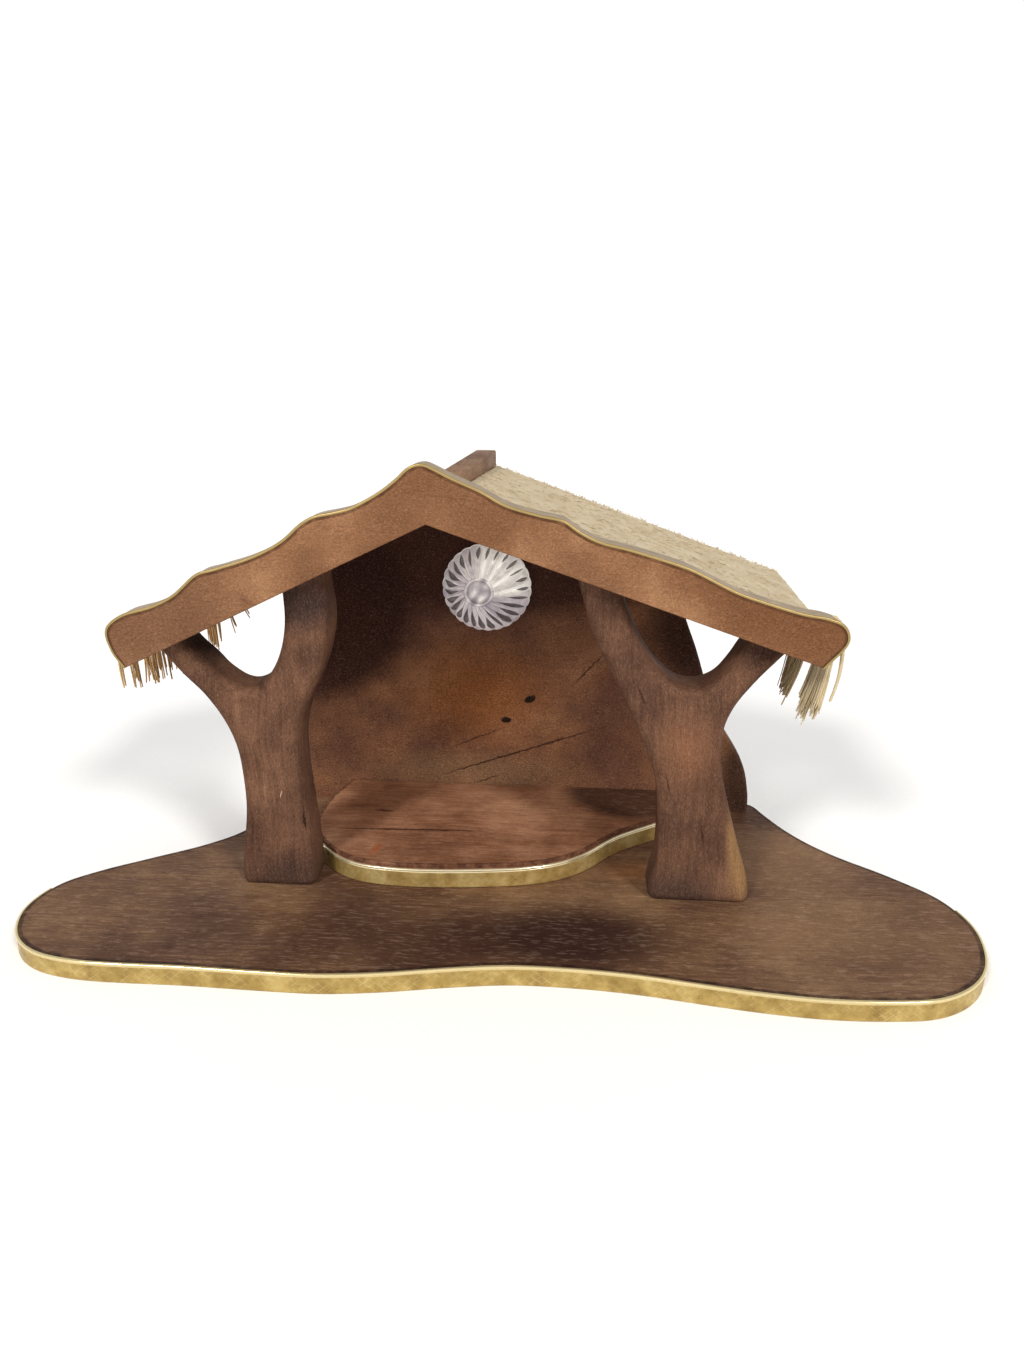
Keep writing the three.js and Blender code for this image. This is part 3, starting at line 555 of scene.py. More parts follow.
def pressed_glass():
    """Clear pressed glass, fire polished. The attribute clear says where the dark wall is seen through it.
    Elsewhere its ribs gather the light of the room, as prisms do, which a faint glow of painted light stands
    for. The attribute tone runs from cool to warm."""
    material, put = new_material("clear_pressed_glass")
    clear = put("Attribute", attribute_name="clear", out=2)
    cord = put("TexNoise", put("TexCoord", out=3), 260.0, 3.0)
    both = put("Math", cord, 0.5, put("Attribute", attribute_name="tone", out=2), operation="MULTIPLY_ADD")
    tones = [(0.25, "8e858a"), (0.6, "b9b0b4"), (0.9, "d8d3cd"), (1.0, "efece6")]
    colour = put("ValToRGB", both, stops=tones)
    # Painted light: the glow, which fades where the glass is clear.
    return shaded(material, {"Base Color": colour, "Emission Color": colour, "Roughness": 0.08, "IOR": 1.45,
                             "Emission Strength": put("MapRange", clear, 0.1, 0.6, 0.42, 0.06),
                             "Transmission Weight": put("MapRange", clear, 0.1, 0.6, 0.0, 1.0)})


def zinc_steel():
    """Bright zinc plate on steel, barrel plated: faint cloudy grey crystals and a soft shine."""
    material, put = new_material("bright_zinc_plate")
    cells = put("TexVoronoi", put("TexCoord", out=3), 900.0)
    return shaded(material, {"Base Color": put("ValToRGB", cells, stops=[(0.1, "b9bcbe"), (0.8, "8f9496")]),
                             "Metallic": 1.0, "Roughness": put("MapRange", cells, 0.0, 1.0, 0.28, 0.42)})


def studio_floor():
    """Plain matt paper, with a faint tooth."""
    material, put = new_material("pale_paper_floor")
    tooth = put("TexNoise", put("TexCoord", out=3), 300.0, 2.0)
    return shaded(material, {"Base Color": put("ValToRGB", tooth, stops=[(0.3, "fafafa"), (0.7, "fdfdfd")]),
                             "Roughness": 0.9})


# Stains and marks in the wood, with painted light and shade: middle, half sizes, turn, where the edge starts,
# strength and colour

ENDLESS = 100000
THROUGH = (0, ENDLESS)
WALL_FACE = (101, 6)
ACROSS_Y, ACROSS_Z = 1, 2

# On the wall: painted shade for the roof's shadow across its top, the left post's shadow at its left, the
# right post's shade over its right side and the shade on its lower right beyond that post. The orange patch
# and the paler band low down are the wall's own stain.
WALL_STAINS_AND_SHADE = [
    (-10, 224, 180, 80, 0, 0.74, 0.9, "351b16"),
    (-150, 160, 93, 83, 0, 0.74, 0.93, "301915"),
    (148, 160, 72, 80, 0, 0.6, 0.88, "2c1814"),
    (168, 42, 30, 56, 0, 0.4, 0.85, "2e1f19"),
    (-24, 98, 68, 50, 0, 0.1, 0.6, "8f5527"),
    (82, 80, 42, 76, 0, 0.3, 0.6, "57382c"),
    (-30, 38, 100, 22, 0, 0.2, 0.5, "80644a"),
]
WALL_CRACKS = [
    (4, 53.6, 70, 0.85, -19.4, 0.6, 0.85, "2b1713"),
    (52, 116.5, 19, 0.9, -48, 0.5, 0.75, "2b1713"),
    (-25, 63.8, 25, 0.75, -23.8, 0.5, 0.75, "38211a"),
    (-18, 32, 12, 0.75, -21, 0.5, 0.75, "38211a"),
    (-4.6, 77.8, 4.3, 2.6, 0, 0.75, 0.97, "140b08"),
    (12.2, 94, 4.6, 2.8, -25, 0.75, 0.97, "140b08"),
]
# On the base: darker patches at the front middle and lighter ones towards the right end. The orange patch
# beside the right post's foot is a painted pool of light.
BASE_PATCHES_AND_LIGHT = [
    (-30, -80, 140, 44, 0, 0.2, 0.66, "3b231b"),
    (46, -68, 86, 46, 0, 0.3, 0.88, "2d1817"),
    (195, -55, 110, 50, 0, 0.1, 0.5, "89694a"),
    (175, 32, 70, 62, 0, 0.3, 0.6, "86664a"),
    (88, 8, 32, 20, 0, 0.1, 0.55, "8d5c38"),
]
# On the platform: two cracks and an orange mark are its own. The dark wedge at its right rear is the right
# post's painted shadow.
PLATFORM_MARKS_AND_SHADOW = [
    (-60, 25.1, 60, 1.5, 2.3, 0.5, 0.85, "331c14"),
    (-83, 51.7, 9, 1.8, -2, 0.4, 0.85, "331c14"),
    (-79, -3, 3.8, 11, -12, 0.2, 0.8, "93502c"),
    (80, 86, 52, 40, -28, 0.6, 0.84, "35221b"),
]
FASCIA_STAINS = [
    (-137, 197.4, 6.5, 2.6, 40, 0.1, 0.6, "5c3c2c"),
    (-26, 254.7, 26, 0.7, 5.8, 0.1, 0.6, "543624"),
    (178, 184, 80, 45, 20, 0.3, 0.85, "66422a"),
    (-190, 180, 85, 45, -20, 0.2, 0.8, "654632"),
    (-25, 246, 80, 46, 0, 0.3, 0.62, "66432c"),
    (125, 212, 66, 36, 20, 0.2, 0.7, "66422a"),
]
# On the posts: a slit, a scratch and three cracks are their own, the feet are darker, and the right post is
# lighter in its middle. Painted shade darkens the insides of both forks and the arms' tops near the fascia,
# where its shadow falls. The ochre strip down the right post's right arris is a painted highlight.
POST_MARKS_SHADE_AND_HIGHLIGHT = [
    (-116.9, 57.3, 1.0, 9, -3, 0.3, 0.9, "21130e"),
    (-129.8, 74.6, 0.6, 3.5, 10, 0.3, 0.8, "b89d86"),
    (98.6, 88.9, 0.9, 12, -14, 0.2, 0.75, "2a1913"),
    (120.1, 57.7, 0.8, 12, -10, 0.2, 0.7, "2a1913"),
    (81.1, 142.3, 0.9, 10, -24, 0.2, 0.7, "2a1913"),
    (106, 10, 40, 34, 0, 0.3, 0.7, "342826"),
    (-126, 8, 40, 38, 0, 0.3, 0.62, "342826"),
    (142.5, 44, 9.5, 44, -8, 0.35, 0.72, "8d6c48"),
    (97, 163, 28, 6, 38, 0.5, 0.92, "1d110d"),
    (-168, 164, 32, 13, 35, 0.35, 0.9, "1d110d"),
    (-148, 151, 24, 5, 42, 0.3, 0.8, "22150f"),
    (-110, 190, 24, 20, 0, 0.2, 0.66, "352a29"),
    (150, 172, 22, 10, -35, 0.3, 0.75, "35221b"),
    (88, 190, 22, 18, 0, 0.2, 0.7, "38261f"),
    (108, 110, 26, 34, -12, 0.0, 0.5, "916448"),
]
# Painted shade down the pole's right side.
POLE_SHADE = [(8, 0, 7, ENDLESS, 0, 0.6, 0.8, "3a2a22")]

base_wood = stained_wood("brown_stained_veneer_board", ("483024", "5b4030", "6f523b", "84664a"), pore=0.6,
                         marks=[(ACROSS_Z, THROUGH, BASE_PATCHES_AND_LIGHT)], fleck=1.0, fleck_size=(0.12, 0.65, 0.65),
                         cloud=0.016, rim="20120c", shine=0.3)
post_wood = stained_wood("dark_stained_solid_post", ("422d24", "563c2f", "684a39", "7c5b45"), turn=(0, 90, 0),
                         marks=[(ACROSS_Y, THROUGH, POST_MARKS_SHADE_AND_HIGHLIGHT)], mottle=0.26, fleck=0.6,
                         fleck_size=(0.5, 1.5, 1.5), pore=0.4, shine=0.05)
wall_wood = stained_wood("dark_stained_wall_board", ("54362a", "674533", "775038", "8a6247"),
                         marks=[(ACROSS_Y, THROUGH, WALL_STAINS_AND_SHADE), (ACROSS_Y, WALL_FACE, WALL_CRACKS)],
                         mottle=0.42, fleck=0.7, fleck_size=(0.8, 1.3, 1.3), pore=0.3, streak=0.1)
fascia_wood = stained_wood("orange_brown_stained_board", ("6c4a33", "7a553b", "876044", "977050"),
                           marks=[(ACROSS_Y, THROUGH, FASCIA_STAINS)], mottle=0.26, fleck=0.7,
                           fleck_size=(0.8, 1.3, 1.3), pore=0.25, streak=0.1, rim="472d1c")
platform_wood = stained_wood("red_brown_stained_board", ("623f2e", "7c543d", "936950", "ab8262"), pore=0.6,
                             marks=[(ACROSS_Z, THROUGH, PLATFORM_MARKS_AND_SHADOW)], fleck=0.7,
                             fleck_size=(0.14, 0.7, 0.7), rim="3a2018")
plain_wood = stained_wood("bare_thin_board", ("8a6a4a", "a98660", "bd9a70", "ceb088"), fleck=0.2, gloss=0.7)
dowel_wood = stained_wood("turned_birch_dowel", ("b89668", "c9aa7c", "d6ba8f", "e0c9a2"), turn=(0, 0, 90),
                          fleck=0.2, gloss=0.6)
pole_wood = stained_wood("dark_stained_square_pole", ("5b412e", "70523e", "83644c", "98785a"),
                         turn=(0, 0, 86), pore=0.6, marks=[(ACROSS_Y, THROUGH, POLE_SHADE)])
steel = zinc_steel()
glass = pressed_glass()
mat_cloth = woven_mat()
left_fibre = plant_fibre("brown_plant_fibre_strands", ("6e4a2a", "9c7647", "ba9361", "d2b37f"))
right_fibre = plant_fibre("pale_plant_fibre_strands", ("6a5238", "957e5b", "b6a27e", "d6c8a7"))


# Boards

BASE_TOP = box_mm("base_board")[1][2]


def board_cuts(sides):
    """A cutting plane through each straight side of an outline in X and Z: a point and the way outwards."""
    cuts = []
    for a, b in sides:
        along = unit(b - a)
        cuts.append(((a[0], 0, a[1]), (along[1], 0, -along[0])))
    return cuts


def standing_rounded(node, cut, rounding, material, foot=None):
    """A standing board or post, from its outline at a depth: its free sides run on past their ends, it gets
    quarter-round arrises, and the planes of its straight sides cut it."""
    low, high = box_mm(node)
    sides = loop_sides(cut_loop(node, 1, low[1] + cut))
    outline = np.vstack([past_ends(smooth_side(side, OUTLINE_STEP)) for side in sides if len(side) > 3])
    deep, inset = quarter_rings(high[1] - low[1], rounding, steps=7, support=0.5)
    points, faces = ringed_board(outline, deep, inset, standing(low[1]))
    cuts = board_cuts([side[[0, -1]] for side in sides if len(side) <= 3])
    mesh = cut_mesh(node + "_dressed", points, outward(points, faces), cuts, foot)
    return finished(node + "_dressed", mesh, material, [node])


def smoothed_outline(node, axis, level):
    """The smooth outline of a board, and 1 at its points on curved sides, which the edging covers, or 0."""
    sides = []
    for side in loop_sides(cut_loop(node, axis, level)):
        if len(side) > 3:
            sides.append((smooth_side(side, OUTLINE_STEP)[:-1], 1.0))
        else:
            clear = END_CLEAR * unit(side[-1] - side[0])
            sides.append((np.array([side[0], side[0] + clear, side[-1] - clear]), 0.0))
    beside_edging = [np.full(len(side), share) for side, share in sides]
    return np.vstack([side for side, _ in sides]), np.concatenate(beside_edging)


def board_piece(node, axis, level, place, thick, material, slot, rim):
    """A board with its band of painted shade marked, along the line where the edging meets it."""
    outline, beside_edging = smoothed_outline(node, axis, level)
    points, faces, rim = rimmed_board(outline, beside_edging, thick, place, rim)
    piece = new_piece(node + "_dressed", points, outward(points, faces), material, [node])
    point_values(piece.data, "rim", rim)
    return piece


def ground_screws():
    names = [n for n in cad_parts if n.startswith(("post_screw", "wall_screw", "platform_screw"))]
    return np.array([(sum(box_mm(n)) / 2)[:2] for n in sorted(names)])


def base_piece():
    """The base board with eased arrises. Its underside has a countersunk hole for each screw:
    a short cylinder, a cone and a shank hole, turned about the screw's middle."""
    outline, beside_edging = smoothed_outline("base_board", 2, BASE_CUT)
    points, faces, rim = rimmed_board(outline, beside_edging, BASE_TOP, lying(0), BASE_SHADE_RIM)
    count = len(outline)
    faces = [face for face in faces if len(face) == 4 or min(face) > 0]
    ring = circle(28)
    profile = [(4.1, 0), (4.1, 0.4), (2.2, 2.8), (2.2, BASE_TOP - 1.5)]
    loops, index = [points[:count]], list(range(count))
    for spot in ground_screws():
        start = len(points)
        wall = np.concatenate([np.column_stack([spot + ring * r, np.full(len(ring), z)]) for r, z in profile])
        points = np.vstack([points, wall])
        loops.append(wall[:len(ring)])
        index += range(start, start + len(ring))
        faces += grid_faces(len(profile), len(ring), closed=True, start=start).tolist()
        faces.append(list(range(len(points) - len(ring), len(points))))
    underside = tessellate_polygon([[Vector(p) for p in loop] for loop in loops])
    faces += [[index[k] for k in triangle] for triangle in underside]
    mesh = cut_mesh("base_board_dressed", points, faces)
    point_values(mesh, "rim", np.append(rim, np.zeros(len(points) - len(rim))))
    return finished("base_board_dressed", mesh, base_wood, ["base_board"])


def pole_piece():
    """The ridge pole: a square with rounded corners, carried along Y and sheared with the pole's turn,
    its ends eased."""
    low, high = box_mm("ridge_pole")
    loop = cut_loop("ridge_pole", 1, POLE_TURN_Y)
    middle, half = (loop.min(0) + loop.max(0)) / 2, np.ptp(loop, axis=0) / 2
    ring = circle(48, 0.001)
    outline = middle + np.sign(ring) * (half - POLE_ROUND) + POLE_ROUND * ring
    deep, inset = quarter_rings(high[1] - low[1], POLE_END_ROUND, steps=3, support=0.4)
    shear = math.tan(math.radians(POLE_TURN))

    def place(u, v, w):
        return np.stack([u + shear * (low[1] + w - POLE_TURN_Y), low[1] + w, v], 1)

    points, faces = ringed_board(outline, deep, inset, place)
    return new_piece("ridge_pole_dressed", points, outward(points, faces), pole_wood,
                     ["ridge_pole"])


# Gold edging

BAND_START, BAND_POINTS = 4, 14


def edging_section(tall):
    """The section of the edging as outward distance and height: a thin band with an eased lower edge,
    and a half-round lip along its upper one."""
    lip = 0.85
    turn = np.linspace(-math.pi / 2, math.pi / 2, 9)
    low = [[0.05, 0.0], [0.6, 0.0], [0.85, 0.12], [0.95, 0.4]]
    band = np.stack([np.full(BAND_POINTS, 0.95), np.linspace(1.0, tall - 2 * lip - 0.25, BAND_POINTS)], 1)
    high = np.stack([0.75 + 0.75 * np.cos(turn), tall - lip + lip * np.sin(turn)], 1)
    return np.vstack([low, band, high, [[0.05, tall]]])


def edging_piece(name, board, axis, level, place, tall, material):
    """The edging follows the stretch of its board's free side that its CAD node covers."""
    node = name.replace("edging", "edge_trim")
    run = smooth_side(max(loop_sides(cut_loop(board, axis, level)), key=len), EDGING_STEP)
    covered = np.delete(cad_solid(node)[0], axis, 1)
    near = np.linalg.norm(run[:, None] - covered, axis=2).argmin(0)
    points, faces, places = carried_section(run[near.min():near.max() + 1], edging_section(tall), place)
    piece = new_piece(name, points, outward(points, faces), material, [node], bend=50)
    add_map(piece.data, "edging", places)
    return piece


# Thatch and fringe

def soft_noise(u, v, pitch, seed):
    """A smooth uneven height between about -1 and 1: ten sine waves of random direction and phase,
    each about one pitch long."""
    draw = np.random.default_rng(seed)
    angle, phase, size = draw.uniform(0, 2 * math.pi, (3, 10))
    length = pitch * (0.7 + 0.1 * size)
    along = u[..., None] * np.cos(angle) + v[..., None] * np.sin(angle)
    return np.sin(2 * math.pi * along / length + phase).sum(-1) / 3.2


def tube_bundle(paths, radii, sides):
    """Closed tubes along many paths at once. Each path's section is a ring square to the path, turned by two
    directions that are square to it; the ends are closed by one face each."""
    count, steps = paths.shape[:2]
    along = unit(np.gradient(paths, axis=1))
    across = unit(np.cross(along, [0.31, 0.93, 0.2]))
    other = np.cross(along, across)
    turn = np.arange(sides) * 2 * math.pi / sides
    ring = across[..., None, :] * np.cos(turn)[:, None] + other[..., None, :] * np.sin(turn)[:, None]
    points = paths[..., None, :] + ring * radii[..., None, None]
    start = np.arange(count) * steps * sides
    faces = (grid_faces(steps, sides, closed=True)[:, ::-1] + start[:, None, None]).reshape(-1, 4).tolist()
    first = np.arange(sides)[::-1] + start[:, None]
    last = np.arange(sides) + (steps - 1) * sides + start[:, None]
    return points.reshape(-1, 3), faces + first.tolist() + last.tolist()


def mat_frame(side):
    """Where a mat lies: its side, its ridge and eave ends in X, its front and rear in Y, the height of its
    underside at X, and its slope."""
    low, high = box_mm(side + "_thatch")
    points, _ = cad_solid(side + "_thatch")
    toward = 1 if side == "right" else -1
    front_points = points[np.abs(points[:, 1] - low[1]) < 0.5]
    ridge = (front_points[:, 0] * toward).min() * toward
    eave = box_mm(side + "_eave_fringe")[toward > 0][0]
    at_ends = [points[np.abs(points[:, 0] - x) < 0.6][:, 2].min() for x in (low[0], high[0])]
    slope = (at_ends[1] - at_ends[0]) / (high[0] - low[0])
    return toward, ridge, eave, low[1], high[1], lambda x: at_ends[0] + slope * (x - low[0]), slope


def mat_piece(side):
    """A mat laid on its roof board: the grid runs down the slope and along the eave. Its top is the roof's
    slope plus the mat's thickness and an uneven height, thinner towards its edges. Its underside is flat."""
    toward, ridge, eave, front, rear, under, slope = mat_frame(side)
    length, wide = abs(eave - ridge) * math.hypot(1, slope), rear - front
    rows, columns = round(length / MAT_STEP), round(wide / MAT_STEP)
    u, v = np.meshgrid(np.linspace(0, 1, rows), np.linspace(0, 1, columns), indexing="ij")
    y = front + v * wide
    top_x = ridge + math.tan(math.radians(POLE_TURN)) * (y - front)
    x = top_x + u * (eave - top_x)
    edge = np.minimum.reduce([u * length, (1 - u) * length, v * wide, (1 - v) * wide])
    ragged = soft_noise(x, y, 9, 5) * 0.5 + soft_noise(x, y, 3, 6) * 0.35
    y = y + np.where(v > 0.999, ragged, 0)
    x = x + toward * np.where(u > 0.999, ragged, 0)
    uneven = 0.16 * soft_noise(x, y, 11, 3) + 0.12 * soft_noise(x, y, 2.6, 4)
    thick = MAT_THICK * (1 - 0.45 * np.exp(-edge / 0.9)) + uneven
    top = np.stack([x, y, under(x) + thick], -1).reshape(-1, 3)
    bottom = np.stack([x, y, under(x) + 0.05], -1).reshape(-1, 3)
    upper, at = grid_faces(rows, columns), np.arange(rows * columns).reshape(rows, columns)
    rim = np.concatenate([at[0], at[1:, -1], at[-1, :-1][::-1], at[1:-1, 0][::-1]])
    after = np.roll(rim, -1)
    walls = np.stack([rim, after, after + at.size, rim + at.size], 1)
    faces = np.concatenate([upper, upper[:, ::-1] + at.size, walls]).tolist()
    points = np.vstack([top, bottom])
    piece = new_piece(side + "_thatch_mat", points, outward(points, faces), mat_cloth,
                      [side + "_thatch"], bend=60)
    add_map(piece.data, "weave", np.stack([np.tile((u * length).ravel(), 2), points[:, 1]], 1))
    return piece, (MM * wide, MM * length)


def mat_fibres(side):
    """Loose fibres on a mat: short bent hairs that lie on its top, and tufts that stand along its rear edge.
    A hair starts on the mat, runs in a random direction and rises and falls by a low arch."""
    toward, ridge, eave, front, rear, under, _ = mat_frame(side)
    draw = np.random.default_rng(21 if toward > 0 else 22)
    hairs, tufts, steps = 900, 260, 5
    t = np.linspace(0, 1, steps)
    share = draw.uniform(0.02, 0.98, hairs)
    x = ridge + share * (eave - ridge)
    y = draw.uniform(front + 4, rear - 3, hairs)
    turn = np.where(draw.random(hairs) < 0.7, draw.normal(0.0, 0.25, hairs), draw.normal(1.2, 0.4, hairs))
    pace = draw.uniform(2.5, 7, hairs)[:, None] / steps
    angle = turn[:, None] + draw.normal(0, 0.12, hairs)[:, None] * t * 2
    px = x[:, None] + toward * np.cumsum(np.cos(angle), 1) * pace
    py = np.clip(y[:, None] + np.cumsum(np.sin(angle), 1) * pace, front + 1, rear - 0.5)
    px = np.where(toward * px > toward * (eave - toward), eave - toward, px)
    arch = draw.uniform(0.1, 0.5, hairs)[:, None] * np.sin(math.pi * t)
    lying_paths = np.stack([px, py, under(px) + MAT_THICK + 0.02 + arch], -1)
    share = np.sort(draw.random(tufts))
    clump = np.round(share * 24) / 24 + draw.normal(0, 0.004, tufts)
    x = ridge + np.clip(np.where(draw.random(tufts) < 0.6, clump, share), 0.03, 0.985) * (eave - ridge)
    rise, back = draw.uniform(0.2, 1.9, tufts), draw.uniform(0.2, 1.8, tufts)
    px = x[:, None] + draw.normal(0, 1.2, tufts)[:, None] * t
    py = rear - 1.5 + (back[:, None] + 1.0) * t
    pz = under(px) + MAT_THICK * 0.6 + rise[:, None] * np.sin(math.pi * 0.6 * t)
    paths = np.concatenate([lying_paths, np.stack([px, py, pz], -1)])
    thick = np.concatenate([draw.uniform(0.11, 0.22, hairs), draw.uniform(0.14, 0.3, tufts)])
    points, faces = tube_bundle(paths, thick[:, None] * np.linspace(1, 0.45, steps), 4)
    piece = new_piece(side + "_thatch_fibres", points, faces, right_fibre, bend=80)
    point_values(piece.data, "shade", np.repeat(draw.uniform(0.25, 1, len(paths)), steps * 4))
    return piece


def hanging_strands(draw, start, bow, tip, drop, wave):
    """Paths of strands that leave the mat, bend over and hang. Along each, with s from 0 to 1, the way out in
    X and Y is bow x (1 - exp(-5 s)) + tip x s^2, the drop is s^1.2, and a slow wave sways it."""
    s = np.linspace(0, 1, 13)
    phase = draw.uniform(0, 2 * math.pi, (2, len(start), 1))
    swing = wave[:, None] * s * np.sin(np.array([3.4, 4.1])[:, None, None] * s + phase)
    flat = start[:, None, :2] + bow[:, None] * (1 - np.exp(-5 * s))[:, None] + tip[:, None] * (s**2)[:, None]
    down = start[:, None, 2] - drop[:, None] * s**1.2
    return np.concatenate([flat + np.moveaxis(swing, 0, -1), down[..., None]], -1)


def fringe_piece(side, bundles, material, widths, single=None):
    """The fringe of an eave. A bundle has its first and last place as distance out past the eave and Y, its
    number of strands, its drop, and how far its strands bow and their tips drift, both as distance outwards
    and along Y, and its shade. Its strands draw together towards their tips."""
    toward, ridge, eave, front, rear, under, _ = mat_frame(side)
    draw = np.random.default_rng(7 if toward > 0 else 8)
    turned = np.array([toward, 1])
    paths, shades = [], []
    for first, last, count, long, bow, tip, tone in bundles:
        share = np.sort(draw.random(count))[:, None]
        place = np.array(first) * (1 - share) + np.array(last) * share
        flat = place * turned + [eave, 0]
        start = np.column_stack([flat, under(flat[:, 0]) + 1.0])
        drop = long * draw.normal(1, 0.06, count) * (1 - 0.1 * np.abs(2 * share[:, 0] - 1))
        pull = ((np.array(first) + np.array(last)) / 2 - place) * draw.uniform(0.0, 0.2, (count, 1))
        tips = (np.array(tip) + pull + draw.normal(0, 0.9, (count, 2))) * turned
        bows = (np.array(bow) + draw.normal(0, 0.6, (count, 2))) * turned
        paths.append(hanging_strands(draw, start, bows, tips, drop, draw.uniform(0.2, 1.0, count)))
        shades.append(np.clip(tone + draw.normal(0, 0.16, count), 0, 1))
    paths, shades = np.concatenate(paths), np.concatenate(shades)
    radii = draw.uniform(*widths, len(paths))
    if single is not None:
        loose = smooth_path(np.array(single), paths.shape[1])
        paths = np.concatenate([paths, loose[None]])
        shades, radii = np.append(shades, 0.85), np.append(radii, 1.3)
    s = np.linspace(0, 1, paths.shape[1])
    points, faces = tube_bundle(paths, radii[:, None] * (1 - 0.45 * s**2), 6)
    piece = new_piece(side + "_fringe_strands", points, faces, material,
                      [side + "_eave_fringe"], bend=80)
    point_values(piece.data, "shade", np.repeat(shades, len(s) * 6))
    return piece


def smooth_path(places, count):
    """Points at even steps of the one polynomial that goes through a few places."""
    at, even = np.linspace(0, 1, len(places)), np.linspace(0, 1, count)
    return np.stack([np.polyval(np.polyfit(at, places[:, k], len(places) - 1), even) for k in range(3)], 1)


RIGHT_BUNDLES = [
    ((-1, -24.5), (-1.5, -17), 60, 52, (9.0, -1), (-7.0, 2), 0.85),
    ((-2, -18), (-3, -5), 72, 56, (8.5, 0), (-9.5, 2), 0.8),
    ((-3, 3), (-3, 10), 34, 50, (4.0, 0), (-12.0, 2), 0.5),
    ((-3, 22), (-3, 30), 16, 56, (4.0, 0), (-9.0, 2), 0.36),
    ((-3, 38), (-3, 52), 22, 60, (5.0, 0), (-6.0, 3), 0.3),
    ((-3, 84), (-3, 97), 8, 58, (3.0, 0), (-4.0, 3), 0.2),
    ((-3, 100), (-3, 111), 4, 58, (3.0, 0), (-6.0, 2), 0.6),
]
LEFT_BUNDLES = [
    ((-1.5, -21), (-1.5, -17), 2, 31, (1.5, 0), (0, 2), 0.85),
    ((-1.5, -5), (-1.5, 9), 11, 32, (2.0, 0), (-1, 1), 0.6),
    ((-1.5, 13), (-1.5, 19), 5, 35, (2.0, 0), (-1, 1), 0.5),
    ((-1.5, 25), (-1.5, 42), 14, 40, (2.0, 0), (-1, 1), 0.55),
    ((-1.5, 48), (-1.5, 54), 6, 42, (1.5, 0), (-1, 1), 0.1),
    ((-1.5, 62), (-1.5, 71), 7, 44, (1.5, 0), (-1, 1), 0.75),
    ((-1, 113), (-12, 113), 22, 42, (0, 3.5), (-1, 0), 0.5),
    ((-15, 113), (-18, 113), 4, 37, (0, 3.5), (-6, 0), 0.4),
    ((-25, 113), (-25.5, 113), 2, 32, (0, 3.5), (-9, 0), 0.35),
]
LOOSE_STRAND = [
    (175, -27, 187.5), (183.6, -33, 190.5), (186.3, -35, 177), (186.1, -35, 162), (182.6, -35, 146),
]


# Rosette

def eased(value, low, high):
    """0 below low, 1 above high and a smooth step between."""
    share = np.clip((value - low) / (high - low), 0, 1)
    return share * share * (3 - 2 * share)


def rosette_looks(a, t, wave):
    """Where the glass is clear, and its tone. Wave is 1 on a rib and 0 in a groove. Each groove has its own
    see-through length. Towards the upper right the ribs are broad, with see-through grooves only near the
    rim, and their tone is painted warmer and brighter, as a painted highlight; so is a thin ring at the rim."""
    draw = np.random.default_rng(3)
    groove = np.floor(FLUTES * (a + 0.16 * t) / (2 * math.pi)).astype(int) % FLUTES
    upper = eased(np.cos(a - math.radians(52)), -0.1, 0.9)
    reach = draw.uniform(0.5, 0.85, FLUTES)[groove] * (1 - 0.5 * upper)
    wide = draw.uniform(0.74, 1.02, FLUTES)[groove] - 0.3 * upper
    middle = np.sin(math.pi * np.clip((t - 0.04) / reach, 0, 1)) ** 0.6
    clear = eased(wide * middle - wave, -0.05, 0.12)
    clear = np.maximum(clear, 0.75 * eased(0.22 - wave, 0, 0.1) * eased(t, 0.3, 0.5) * (1 - 0.6 * upper))
    shine = draw.uniform(-0.16, 0.16, FLUTES)[groove]
    return clear, 0.3 + 0.42 * upper + shine + 0.3 * (t < 0.03)


# Rings of the boss: steps out from its radius, height as a share of the dome's, how clear it is, and its tone
BOSS_RINGS = np.array([
    (0.3, 0.955, 0.3, 0.2), (0, 0.99, 0, 0.45), (-0.7, 1.0, 0, 0.5), (-1.5, 0.985, 0.3, 0.3),
    (-2.2, 0.955, 0.25, 0.3), (-4.5, 0.95, 0.0, 0.4), (-6.3, 0.965, 0.1, 0.35),
    (1.2 - BOSS_RADIUS, 0.955, 0.0, 0.3),
])


